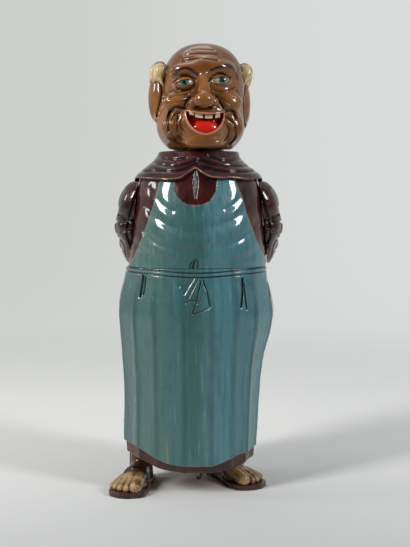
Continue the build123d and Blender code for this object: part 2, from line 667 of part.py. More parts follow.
def make_crank_arm():
    """The wooden crank arm: a tapering bar with round ends, hanging down at rest."""
    tip = shaft_height - crank_throw
    hub_disc = lying_cylinder(arm_hub_radius, crank_stand_off, arm_back)
    tip_disc = lying_cylinder(arm_tip_radius, crank_stand_off, arm_back, 0, tip)
    slope = (arm_hub_radius - arm_tip_radius) / crank_throw
    across = math.sqrt(1 - slope ** 2)
    corners = [(arm_hub_radius * across, shaft_height - arm_hub_radius * slope),
               (arm_tip_radius * across, tip - arm_tip_radius * slope),
               (-arm_tip_radius * across, tip - arm_tip_radius * slope),
               (-arm_hub_radius * across, shaft_height - arm_hub_radius * slope)]
    web = extrude(Plane.XZ * make_face(Polyline(*corners, close=True).edges()), amount=arm_thickness,
                  dir=(0, 1, 0))
    arm = hub_disc + tip_disc + Pos(0, crank_stand_off, 0) * web
    outer = arm.edges().group_by(Axis.Y)[-1]
    arm = chamfer(outer, arm_thickness / 6)
    arm -= lying_cylinder(shaft_radius, crank_stand_off - 1, arm_back + 1)
    return arm - lying_cylinder(knob_pin_radius, crank_stand_off - 1, arm_back + 1, 0, tip)


def make_crank_nut():
    """The hexagon nut that holds the crank arm on the shaft."""
    nut = extrude(RegularPolygon(nut_flats / 2, 6, major_radius=False), amount=nut_thickness)
    nut = Pos(0, arm_back, shaft_height) * Rot(-90, 0, 0) * nut
    return nut - lying_cylinder(shaft_radius, arm_back - 1, arm_back + nut_thickness + 1)


def make_knob():
    """The turned knob: full in the middle, waisted next to the crank arm."""
    near = arm_back + running_gap
    profile = [(knob_radius * 0.72, 0), (knob_radius * 0.58, knob_length * 0.16),
               (knob_radius * 0.86, knob_length * 0.46), (knob_radius, knob_length * 0.74),
               (knob_radius * 0.78, knob_length * 0.95), (knob_radius * 0.55, knob_length)]
    side = Spline(*profile)
    bore = knob_pin_radius + 2 * bearing_clearance
    rim = Polyline((knob_radius * 0.55, knob_length), (bore, knob_length), (bore, 0), (knob_radius * 0.72, 0))
    half = Plane.XZ * make_face([side.edge(), *rim.edges()])
    knob = revolve(half, Axis.Z)
    return Pos(0, near, shaft_height - crank_throw) * Rot(-90, 0, 0) * knob


def make_knob_pin():
    """The round-headed pin that the knob spins on, riveted into the arm."""
    far = arm_back + knob_length + 2 * running_gap
    z = shaft_height - crank_throw
    pin = lying_cylinder(knob_pin_radius, crank_stand_off, far + 0.1, 0, z)
    dome = Pos(0, far, z) * Rot(-90, 0, 0) * Cone(knob_pin_head_radius, knob_pin_head_radius * 0.6, 1.5,
                                                  align=(Align.CENTER, Align.CENTER, Align.MIN))
    return pin + dome


def post_tenon_block(top):
    """The tenon under the post, up to the given height; it also cuts its own mortise."""
    return block(-post_half_width / 2, post_half_width / 2, post_front + post_shoulder, post_back,
                 chamber_floor - post_tenon, top)


def make_bearing_post():
    """The upright in front of the pinion, tenoned into the chamber floor."""
    post = block(-post_half_width, post_half_width, post_front, post_back, chamber_floor, shaft_height)
    post += lying_cylinder(post_half_width, post_front, post_back)
    post += post_tenon_block(chamber_floor)
    return post - lying_cylinder(shaft_radius + bearing_clearance + bush_wall, post_front - 1, post_back + 1)


def along_y(solid, near, z=shaft_height):
    """Lays a part drawn upright along Y, with its floor at near."""
    return Pos(0, near, z) * Rot(-90, 0, 0) * solid


# ---------------------------------------------------------------- assembly
def build_parts():
    """Every piece by name, in place about the spindle."""
    carved = carved_lower_block()
    arm = make_right_arm()
    shaft_bore = shaft_radius + bearing_clearance
    spindle_bore = spindle_radius + bearing_clearance
    retainer = split_pin_height() + pin_radius + running_gap
    return {
        "skirt": make_skirt(carved),
        "back_cover": make_back_cover(carved),
        "cover_screws": make_cover_screws(),
        "torso": make_torso(),
        "arm_right": arm,
        "arm_left": mirror(arm, about=Plane.YZ),
        "foot_left": make_foot(foot_left_place, foot_left_turn, mirrored=False),
        "foot_right": make_foot(foot_right_place, foot_right_turn, mirrored=True),
        "waist_dowels": make_waist_dowels(),
        "arm_dowels": make_arm_dowels(),
        "leg_dowels": make_leg_dowels(),
        "bearing_post": make_bearing_post(),
        "front_bush": along_y(flanged_bush(shaft_bore, post_thickness), post_front),
        "rear_bush": along_y(flanged_bush(shaft_bore, flange_face - cover_seat), cover_seat),
        "neck_bush": Pos(0, 0, collar - flange_thickness - neck_bush_length)
        * flanged_bush(spindle_bore, neck_bush_length),
        "lower_bush": Pos(0, 0, underside) * flanged_bush(spindle_bore, chamber_floor - underside, False),
        "felt_washer": Pos(0, 0, collar) * ring_washer(felt_radius, spindle_way * 2, felt_thickness),
        "head": make_head(),
        "neck_disc": make_neck_disc(),
        "head_spindle": make_head_spindle(),
        "crown_wheel": make_crown_wheel(),
        "crown_pegs": make_crown_pegs(),
        "crown_pin": cross_cylinder(pin_radius, -hub_radius, hub_radius, 0, crown_pin_height()),
        "retaining_washer": Pos(0, 0, retainer)
        * ring_washer(2 * spindle_radius, spindle_bore, washer_thickness),
        "split_pin": make_split_pin(),
        "crank_shaft": make_crank_shaft(),
        "pinion_bobbin": make_bobbin(),
        "pinion_staves": make_staves(),
        "pinion_pin": cross_cylinder(pin_radius, -bobbin_core_radius, bobbin_core_radius,
                                     crown_pitch_radius, shaft_height),
        "thrust_spacer": along_y(ring_washer(2 * shaft_radius, shaft_radius,
                                             cover_seat - running_gap - bobbin_back), bobbin_back),
        "crank_spacer": along_y(ring_washer(2 * shaft_radius, shaft_radius,
                                            crank_stand_off - flange_face - flange_thickness - running_gap),
                                flange_face + flange_thickness + running_gap),
        "crank_arm": make_crank_arm(),
        "crank_nut": make_crank_nut(),
        "knob_pin": make_knob_pin(),
        "crank_knob": make_knob(),
    }


def main():
    """Builds, centres and writes every piece."""
    parts = build_parts()
    box = Compound([solid for part in parts.values() for solid in part.solids()]).bounding_box()
    home = Pos(-box.center().X, -box.center().Y, -box.min.Z)
    os.makedirs("parts", exist_ok=True)
    for name, part in parts.items():
        export_step(home * part, f"parts/{name}.step")
    print("spindle axis at", round(-box.center().X, 4), round(-box.center().Y, 4), "size", box.size)


main()
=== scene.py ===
"""Wooden crank automaton, finished for its portrait.

A carved and painted figure stands on a pale sweep. Its carved pieces are cut here as fine meshes over the
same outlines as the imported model. Their paint follows the carving through signed distances kept on the
meshes. The gearing, bushes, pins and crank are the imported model's own pieces with turned and drawn finishes.
Lengths are millimetres about the head spindle, with the floor at zero, until a mesh is made in metres.
"""
from __future__ import annotations

import json
import logging
import math
from collections.abc import Callable, Sequence
from dataclasses import dataclass
from enum import Enum

import bmesh
import bpy
import numpy as np
from mathutils import Euler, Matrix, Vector

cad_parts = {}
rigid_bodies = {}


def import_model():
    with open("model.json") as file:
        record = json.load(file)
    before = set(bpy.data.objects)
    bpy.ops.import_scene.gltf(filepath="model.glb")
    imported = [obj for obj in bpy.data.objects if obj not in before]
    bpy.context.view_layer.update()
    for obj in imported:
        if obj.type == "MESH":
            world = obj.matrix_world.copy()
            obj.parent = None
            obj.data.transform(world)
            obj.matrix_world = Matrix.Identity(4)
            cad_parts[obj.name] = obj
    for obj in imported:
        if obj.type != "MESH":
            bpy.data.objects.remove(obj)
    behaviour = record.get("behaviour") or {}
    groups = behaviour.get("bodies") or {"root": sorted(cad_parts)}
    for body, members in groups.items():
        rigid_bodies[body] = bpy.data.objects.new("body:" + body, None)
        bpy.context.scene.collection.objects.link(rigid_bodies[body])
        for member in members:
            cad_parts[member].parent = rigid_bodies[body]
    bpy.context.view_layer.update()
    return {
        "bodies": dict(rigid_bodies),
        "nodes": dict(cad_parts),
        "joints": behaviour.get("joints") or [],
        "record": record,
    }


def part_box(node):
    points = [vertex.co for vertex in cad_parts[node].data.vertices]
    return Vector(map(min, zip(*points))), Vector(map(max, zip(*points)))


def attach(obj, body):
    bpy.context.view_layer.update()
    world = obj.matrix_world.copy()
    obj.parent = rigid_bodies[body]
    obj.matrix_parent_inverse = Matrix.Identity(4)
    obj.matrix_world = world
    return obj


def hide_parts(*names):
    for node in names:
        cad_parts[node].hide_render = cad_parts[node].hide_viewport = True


LOG = logging.getLogger("automaton")
MM = 0.001
Points = np.ndarray
Values = np.ndarray
Trio = tuple[float, float, float]
Pair = tuple[float, float]
FAR = 60.0
ANKLES = ((-39.5, -1.0), (16.5, 14.0))
NAIL = (9.6, -13.4, 5.6)
SCREW_RADIUS = 1.4


# ------------------------------------------------------------------ distances to simple shapes
def turning(degrees: Trio) -> np.ndarray:
    """Returns the rotation matrix for turns about X, Y and Z.

    Args:
        degrees: the three turns.

    Returns:
        A 3 by 3 matrix.
    """
    return np.array(Euler([math.radians(d) for d in degrees]).to_matrix(), np.float32)


def ball(p: Points, centre: Trio, radii: Trio, turn: Trio = (0, 0, 0)) -> Values:
    """Distance to a stretched ball.

    Args:
        p: the points.
        centre: its middle.
        radii: its three half widths.
        turn: its turns in degrees.

    Returns:
        Distances, negative inside.
    """
    q = p - np.float32(centre)
    if any(turn):
        q = q @ turning(turn)
    r = np.float32(radii)
    near = np.linalg.norm(q / r, axis=1)
    slope = np.linalg.norm(q / (r * r), axis=1)
    return near * (near - 1) / np.maximum(slope, 1e-6)


def rod(p: Points, a: Trio, b: Trio, start: float, end: float | None = None) -> Values:
    """Distance to a round-ended rod that may taper.

    Args:
        p: the points.
        a: middle of one end.
        b: middle of the other.
        start: radius at a.
        end: radius at b, the same when left out.

    Returns:
        Distances, negative inside.
    """
    first = np.float32(a)
    along = np.float32(b) - first
    t = np.clip((p - first) @ along / float(along @ along), 0, 1)
    gap = p - first - t[:, None] * along
    return np.linalg.norm(gap, axis=1) - (start + ((start if end is None else end) - start) * t)


def block(p: Points, low: Trio, high: Trio, rounding: float = 0.0) -> Values:
    """Distance to a box between two corners, with rounded edges.

    Args:
        p: the points.
        low: its lowest corner.
        high: its highest corner.
        rounding: radius of its edges.

    Returns:
        Distances, negative inside.
    """
    low_corner, high_corner = np.float32(low), np.float32(high)
    q = np.abs(p - (low_corner + high_corner) / 2) - (high_corner - low_corner) / 2 + rounding
    outside = np.linalg.norm(np.maximum(q, 0), axis=1)
    return outside + np.minimum(q.max(axis=1), 0) - rounding


def bore(p: Points, axis: int, centre: Pair, radius: float, low: float, high: float) -> Values:
    """Distance to a cylinder along one axis.

    Args:
        p: the points.
        axis: 0, 1 or 2 for X, Y or Z.
        centre: its place on the other two axes, in their order.
        radius: its radius.
        low: where it starts.
        high: where it ends.

    Returns:
        Distances, negative inside.
    """
    u, v = [i for i in range(3) if i != axis]
    side = np.hypot(p[:, u] - centre[0], p[:, v] - centre[1]) - radius
    return np.maximum(side, np.maximum(low - p[:, axis], p[:, axis] - high))


def merge(a: Values, b: Values, soft: float = 0.0) -> Values:
    """Joins two shapes, with a fillet of about the given size.

    Args:
        a: distances to the first.
        b: distances to the second.
        soft: size of the fillet.

    Returns:
        Distances to both together.
    """
    if soft <= 0:
        return np.minimum(a, b)
    h = np.clip(0.5 + 0.5 * (b - a) / soft, 0, 1)
    return b + (a - b) * h - soft * h * (1 - h)


def within(a: Values, b: Values, soft: float = 0.0) -> Values:
    """The wood that two shapes share, with edges softened by about the given size."""
    return -merge(-a, -b, soft)


def pare(a: Values, b: Values, soft: float = 0.0) -> Values:
    """The first shape with the second cut out of it."""
    return -merge(-a, b, soft)


def blend_curve(xs: Sequence[float], ys: Sequence[float], at: Values) -> Values:
    """Reads a smooth curve through a few points.

    Args:
        xs: rising places of the points.
        ys: their values.
        at: where to read.

    Returns:
        The curve's values, level beyond its ends.
    """
    x, y = np.float64(xs), np.float64(ys)
    slope = np.gradient(y, x)
    dense = np.linspace(x[0], x[-1], 160)
    i = np.clip(np.searchsorted(x, dense) - 1, 0, len(x) - 2)
    width = x[i + 1] - x[i]
    t = (dense - x[i]) / width
    rest = 1 - t
    value = (y[i] * (1 + 2 * t) * rest ** 2 + slope[i] * width * t * rest ** 2
             + y[i + 1] * t ** 2 * (3 - 2 * t) - slope[i + 1] * width * t ** 2 * rest)
    return np.interp(at, dense, value).astype(np.float32)


def bent(points: Sequence[Pair], pieces: int = 6) -> np.ndarray:
    """Rounds a short list of points into a smooth stroke.

    Args:
        points: the places the stroke passes through.
        pieces: how many short pieces each stretch becomes.

    Returns:
        The stroke's many points.
    """
    p = np.float64(points)
    if len(p) == 2:
        return p
    padded = np.vstack([2 * p[0] - p[1], p, 2 * p[-1] - p[-2]])
    out = []
    for a, b, c, d in zip(padded, padded[1:], padded[2:], padded[3:]):
        for k in range(pieces):
            t = k / pieces
            out.append(0.5 * (2 * b + (c - a) * t + (2 * a - 5 * b + 4 * c - d) * t * t
                              + (3 * b - a - 3 * c + d) * t ** 3))
    return np.vstack(out + [p[-1]])


def to_stroke(u: Values, v: Values, points: Sequence[Pair], reach: float) -> Values:
    """Distance in a plane to a smooth stroke, exact within reach of it.

    Args:
        u: first coordinates.
        v: second coordinates.
        points: the stroke's points.
        reach: how near a point must be to matter.

    Returns:
        Distances, FAR where out of reach.
    """
    line = bent(points)
    low, high = line.min(axis=0) - reach, line.max(axis=0) + reach
    near = np.flatnonzero((u > low[0]) & (u < high[0]) & (v > low[1]) & (v < high[1]))
    out = np.full(len(u), FAR, np.float32)
    if not len(near):
        return out
    x, y = u[near], v[near]
    best = np.full(len(near), FAR * FAR)
    for (ax, ay), (bx, by) in zip(line, line[1:]):
        dx, dy = bx - ax, by - ay
        t = np.clip(((x - ax) * dx + (y - ay) * dy) / (dx * dx + dy * dy + 1e-9), 0, 1)
        best = np.minimum(best, (x - ax - t * dx) ** 2 + (y - ay - t * dy) ** 2)
    out[near] = np.sqrt(best)
    return out


@dataclass(frozen=True)
class Cut:
    """A groove from one pull of the knife.

    Attributes:
        points: where it runs, in a plane.
        width: half its width.
        depth: how deep it goes.
    """

    points: tuple[Pair, ...]
    width: float
    depth: float

    def depth_at(self, u: Values, v: Values) -> Values:
        """Wood that the groove takes away at each place in its plane."""
        far = to_stroke(u, v, self.points, 3 * self.width)
        return self.depth * np.exp(-(far / self.width) ** 2)


def cut_away(u: Values, v: Values, cuts: Sequence[Cut]) -> Values:
    """The deepest of several grooves at each place in their plane."""
    deep = np.zeros(len(u), np.float32)
    for cut in cuts:
        deep = np.maximum(deep, cut.depth_at(u, v))
    return deep


@dataclass(frozen=True)
class Ring:
    """One level outline of a block: its reach to the left, right, front and back of the spindle."""

    share: float
    left: float
    right: float
    front: float
    back: float


def rounded_block(p: Points, rings: Sequence[Ring], floor: float, height: float, inset: float = 0.0,
                  squareness: float = 2.25) -> Values:
    """Distance to a block whose outline changes smoothly from ring to ring.

    Args:
        p: the points.
        rings: its outlines, from the lowest.
        floor: height of its underside.
        height: how tall it is.
        inset: how much smaller it is all round.
        squareness: 2 for ovals, more for squarer ones.

    Returns:
        Distances to its side only, negative inside.
    """
    x, y = p[:, 0], p[:, 1]
    share = np.clip((p[:, 2] - floor) / height, 0, 1)
    shares = [ring.share for ring in rings]
    reach_x = np.where(x > 0, blend_curve(shares, [ring.right for ring in rings], share),
                       blend_curve(shares, [ring.left for ring in rings], share)) - inset
    reach_y = np.where(y > 0, blend_curve(shares, [ring.back for ring in rings], share),
                       blend_curve(shares, [ring.front for ring in rings], share)) - inset
    m = ((np.abs(x) / reach_x) ** squareness + (np.abs(y) / reach_y) ** squareness) ** (1 / squareness)
    r = np.hypot(x, y)
    return r - np.where(m > 0.02, r / np.maximum(m, 0.02), np.minimum(reach_x, reach_y))


# ------------------------------------------------------------------ carving a mesh out of a distance
Shape = Callable[[Points], Values]


def sample(shape: Shape, low: np.ndarray, cells: np.ndarray, step: float) -> np.ndarray:
    """Measures a shape on a lattice, closely only where its surface passes.

    Args:
        shape: gives distances at points.
        low: the lattice's lowest corner.
        cells: how many blocks of four steps it has each way.
        step: the lattice's spacing.

    Returns:
        Distances on the lattice.
    """
    wide = 4 * step
    axes = [low[i] + wide * np.arange(cells[i] + 1) for i in range(3)]
    coarse_points = np.stack(np.meshgrid(*axes, indexing="ij"), -1).reshape(-1, 3).astype(np.float32)
    coarse = shape(coarse_points).reshape(cells + 1)
    near = np.zeros(cells, bool)
    for i in (0, 1):
        for j in (0, 1):
            for k in (0, 1):
                corner = coarse[i:cells[0] + i, j:cells[1] + j, k:cells[2] + k]
                near |= np.abs(corner) < 1.9 * wide
    fine = np.full(4 * cells + 1, wide, np.float32)
    body = coarse[:-1, :-1, :-1]
    wanted = np.zeros(4 * cells + 1, bool)
    for axis in range(3):
        body = np.repeat(body, 4, axis=axis)
        near = np.repeat(near, 4, axis=axis)
    fine[:-1, :-1, :-1] = body
    for i in (0, 1):
        for j in (0, 1):
            for k in (0, 1):
                wanted[i:4 * cells[0] + i, j:4 * cells[1] + j, k:4 * cells[2] + k] |= near
    index = np.argwhere(wanted)
    fine[wanted] = shape((low + step * index).astype(np.float32))
    return fine


def skin(values: np.ndarray, low: np.ndarray, step: float) -> tuple[Points, np.ndarray]:
    """Lays a net of four-sided faces over the surface in a lattice of distances.

    Args:
        values: the distances.
        low: the lattice's lowest corner.
        step: its spacing.

    Returns:
        The net's corners and its faces.
    """
    size = np.array(values.shape)
    cells, places, faces = [], [], []
    for axis in range(3):
        first = [slice(None)] * 3
        second = [slice(None)] * 3
        first[axis], second[axis] = slice(0, -1), slice(1, None)
        a, b = values[tuple(first)], values[tuple(second)]
        hit = np.argwhere((a < 0) != (b < 0))
        start, end = a[tuple(hit.T)], b[tuple(hit.T)]
        at = hit.astype(np.float64)
        at[:, axis] += start / (start - end)
        u, v = (axis + 1) % 3, (axis + 2) % 3
        ring = []
        for du, dv in ((0, 0), (-1, 0), (-1, -1), (0, -1)):
            cell = hit.copy()
            cell[:, u] += du
            cell[:, v] += dv
            ring.append(np.ravel_multi_index(cell.T, size))
        quad = np.stack(ring, 1)
        turned = start >= 0
        quad[turned] = quad[turned][:, ::-1]
        faces.append(quad)
        cells.append(quad.ravel())
        places.append(np.repeat(at, 4, axis=0))
    all_cells, all_places = np.concatenate(cells), np.vstack(places)
    _, index = np.unique(all_cells, return_inverse=True)
    count = np.bincount(index)
    corners = np.stack([np.bincount(index, all_places[:, i]) / count for i in range(3)], 1)
    return (low + step * corners).astype(np.float32), index.reshape(-1, 4)


def settle(points: Points, shape: Shape, limit: float, rounds: int = 3) -> Points:
    """Moves points onto the surface that they are near.

    Args:
        points: the points.
        shape: gives distances at points.
        limit: the furthest that a point may move in a round.
        rounds: how many times to move them.

    Returns:
        The moved points.
    """
    p = points.copy()
    for _ in range(rounds):
        here = shape(p)
        slope = slopes(p, shape)
        steep = np.maximum((slope ** 2).sum(axis=1), 0.2)
        p = p - slope * np.clip(here / steep, -limit, limit)[:, None]
    return p


def slopes(p: Points, shape: Shape) -> Points:
    """Which way a shape's distance grows at each point, and how fast."""
    reach = 0.12
    out = np.empty_like(p)
    for axis in range(3):
        shift = np.zeros(3, np.float32)
        shift[axis] = reach
        out[:, axis] = (shape(p + shift) - shape(p - shift)) / (2 * reach)
    return out


@dataclass
class Carving:
    """A piece cut from solid wood.

    Attributes:
        name: its name in the scene.
        node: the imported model's node that it stands for.
        low: lowest corner of the room it is cut from.
        high: highest corner of that room.
        step: size of the faces on its broad surfaces.
    """

    name: str
    node: str
    low: Trio
    high: Trio
    step: float

    def shape(self, p: Points) -> Values:
        """Distance to the finished piece."""
        raise NotImplementedError

    def zones(self, p: Points) -> dict[str, Values]:
        """Measures that the paint is laid out by, at each point of the surface."""
        return {}

    def fine_parts(self, p: Points) -> np.ndarray:
        """Which points lie in detail that is cut twice as finely."""
        return np.zeros(len(p), bool)

    def cut(self, place: Place) -> bpy.types.Object:
        """Cuts the piece and sets it in the frame.

        Args:
            place: where the head spindle stands.

        Returns:
            The new object, riding on its body in place of its node.
        """
        step = self.step * 1.0
        low = np.float64(self.low) - 2.5 * step
        cells = np.ceil((np.float64(self.high) + 2.5 * step - low) / (4 * step)).astype(int)
        corners, faces = skin(sample(self.shape, low, cells, step), low, step)
        corners = settle(corners, self.shape, step / 2)
        mesh = bpy.data.meshes.new(self.name)
        mesh.from_pydata(corners.tolist(), [], faces.tolist())
        self.refine(mesh, corners)
        corners = read_corners(mesh)
        corners = settle(corners, self.shape, step / 4, 2)
        for label, values in (self.zones(corners) | self.wear(corners)).items():
            layer = mesh.attributes.new(label, "FLOAT", "POINT")
            layer.data.foreach_set("value", np.float32(values))
        mesh.vertices.foreach_set("co", place.to_world(corners).ravel())
        mesh.polygons.foreach_set("use_smooth", np.ones(len(mesh.polygons), bool))
        mesh.update()
        piece = bpy.data.objects.new(self.name, mesh)
        bpy.context.scene.collection.objects.link(piece)
        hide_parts(self.node)
        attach(piece, place.body_of(self.node))
        LOG.info("%s: %d corners", self.name, len(mesh.vertices))
        return piece

    def refine(self, mesh: bpy.types.Mesh, corners: Points) -> None:
        """Divides the edges that lie in fine detail.

        Args:
            mesh: the piece's mesh, changed in place.
            corners: its corners.
        """
        chosen = self.fine_parts(corners)
        if not chosen.any():
            return
        work = bmesh.new()
        work.from_mesh(mesh)
        edges = [e for e in work.edges if chosen[e.verts[0].index] and chosen[e.verts[1].index]]
        bmesh.ops.subdivide_edges(work, edges=edges, cuts=1, use_grid_fill=True)
        work.to_mesh(mesh)
        work.free()

    def wear(self, p: Points) -> dict[str, Values]:
        """Where shade is painted in the hollows and where hands have rubbed the edges, from how the wood
        curves.
        """
        slope = slopes(p, self.shape)
        out = slope / np.maximum(np.linalg.norm(slope, axis=1), 1e-3)[:, None]
        reach = np.float32(1.1)
        # hollow: how deep a point lies in a hollow, which the paints darken as painted shade; edge: how sharp
        # an edge is, for rubbed wear.
        return {"hollow": 1 - self.shape(p + reach * out) / reach,
                "edge": 1 + self.shape(p - reach * out) / reach}


@dataclass(frozen=True)
class Place:
    """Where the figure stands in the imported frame.

    Attributes:
        spindle: the head spindle's place, in metres.
        bodies: the body that each node rides on.
    """

    spindle: Pair
    bodies: dict[str, str]

    def to_world(self, p: Points) -> Points:
        """Figure millimetres to metres in the frame."""
        return (p * MM + np.float32((*self.spindle, 0))).astype(np.float32)

    def point(self, x: float, y: float, z: float) -> Vector:
        """One place in the figure, in metres in the frame."""
        return Vector((x * MM + self.spindle[0], y * MM + self.spindle[1], z * MM))

    def body_of(self, node: str) -> str:
        """The body that a node rides on."""
        return self.bodies[node]


def read_corners(mesh: bpy.types.Mesh) -> Points:
    """Returns a mesh's corners as an array."""
    flat = np.empty(3 * len(mesh.vertices), np.float32)
    mesh.vertices.foreach_get("co", flat)
    return flat.reshape(-1, 3)


# ------------------------------------------------------------------ sizes shared by the carved pieces
HEM = 15.5
WAIST = 149.0
COLLAR = 225.0
HEAD_FLOOR = 228.0
CHIN = 226.4
UNDERSIDE = 23.0
APRON_BACK = 13.0
APRON_RELIEF = 1.6
CHAMBER = ((-24.0, -23.0, 52.0), (24.0, 60.0, 112.0))
WINDOW = ((-29.0, 28.0, 44.0), (29.0, 80.0, 120.0))
SCREWS = ((-19.0, 48.0), (19.0, 48.0), (-19.0, 116.0), (19.0, 116.0))
SHAFT_HEIGHT = 76.0
SPINDLE_WAY = 4.5
DOWEL = 3.0

SKIRT_RINGS = (
    Ring(0.00, 51.0, 39.5, 39.5, 36.5), Ring(0.14, 52.6, 40.6, 40.0, 36.5),
    Ring(0.30, 52.0, 41.8, 40.3, 36.5), Ring(0.57, 53.4, 45.9, 41.0, 36.8),
    Ring(0.69, 54.8, 50.6, 41.6, 37.0), Ring(0.775, 55.4, 52.0, 41.6, 37.0),
    Ring(0.865, 53.7, 49.7, 40.6, 36.8), Ring(0.93, 50.8, 46.8, 39.4, 36.6),
    Ring(1.00, 48.2, 45.4, 38.0, 36.4))
RECESS_RINGS = (Ring(0.0, 51.0, 39.5, 39.5, 36.5), Ring(1.0, 51.0, 39.5, 39.5, 36.5))
TORSO_RINGS = (
    Ring(0.00, 48.2, 45.4, 38.0, 36.4), Ring(0.10, 47.0, 45.6, 39.6, 35.8),
    Ring(0.30, 45.0, 44.6, 40.4, 34.6), Ring(0.50, 43.0, 43.0, 38.4, 33.0),
    Ring(0.70, 41.0, 41.0, 34.6, 31.6), Ring(0.86, 34.0, 34.0, 30.2, 28.0),
    Ring(1.00, 24.0, 24.0, 22.0, 22.0))
CAPE_RINGS = (
    Ring(0.00, 43.8, 43.8, 38.0, 35.0), Ring(0.24, 43.4, 43.2, 36.8, 34.2),
    Ring(0.40, 41.0, 41.0, 34.4, 32.4), Ring(0.56, 36.4, 36.0, 31.4, 30.0),
    Ring(0.72, 31.4, 30.8, 28.2, 27.6), Ring(0.88, 27.8, 27.6, 26.0, 25.8),
    Ring(1.00, 26.6, 26.8, 24.6, 24.6))


def arm_flats(p: Points) -> Values:
    """Distance to the flats that the arms are glued to, negative on the body's side."""
    share = (p[:, 2] - WAIST) / (COLLAR - WAIST)
    sides = (np.abs(p[:, 0]) - (47.0 - 9.5 * share)) * 0.992
    rear = (p[:, 1] - (33.5 - 5.0 * share)) * 0.998
    return np.maximum(sides, rear)


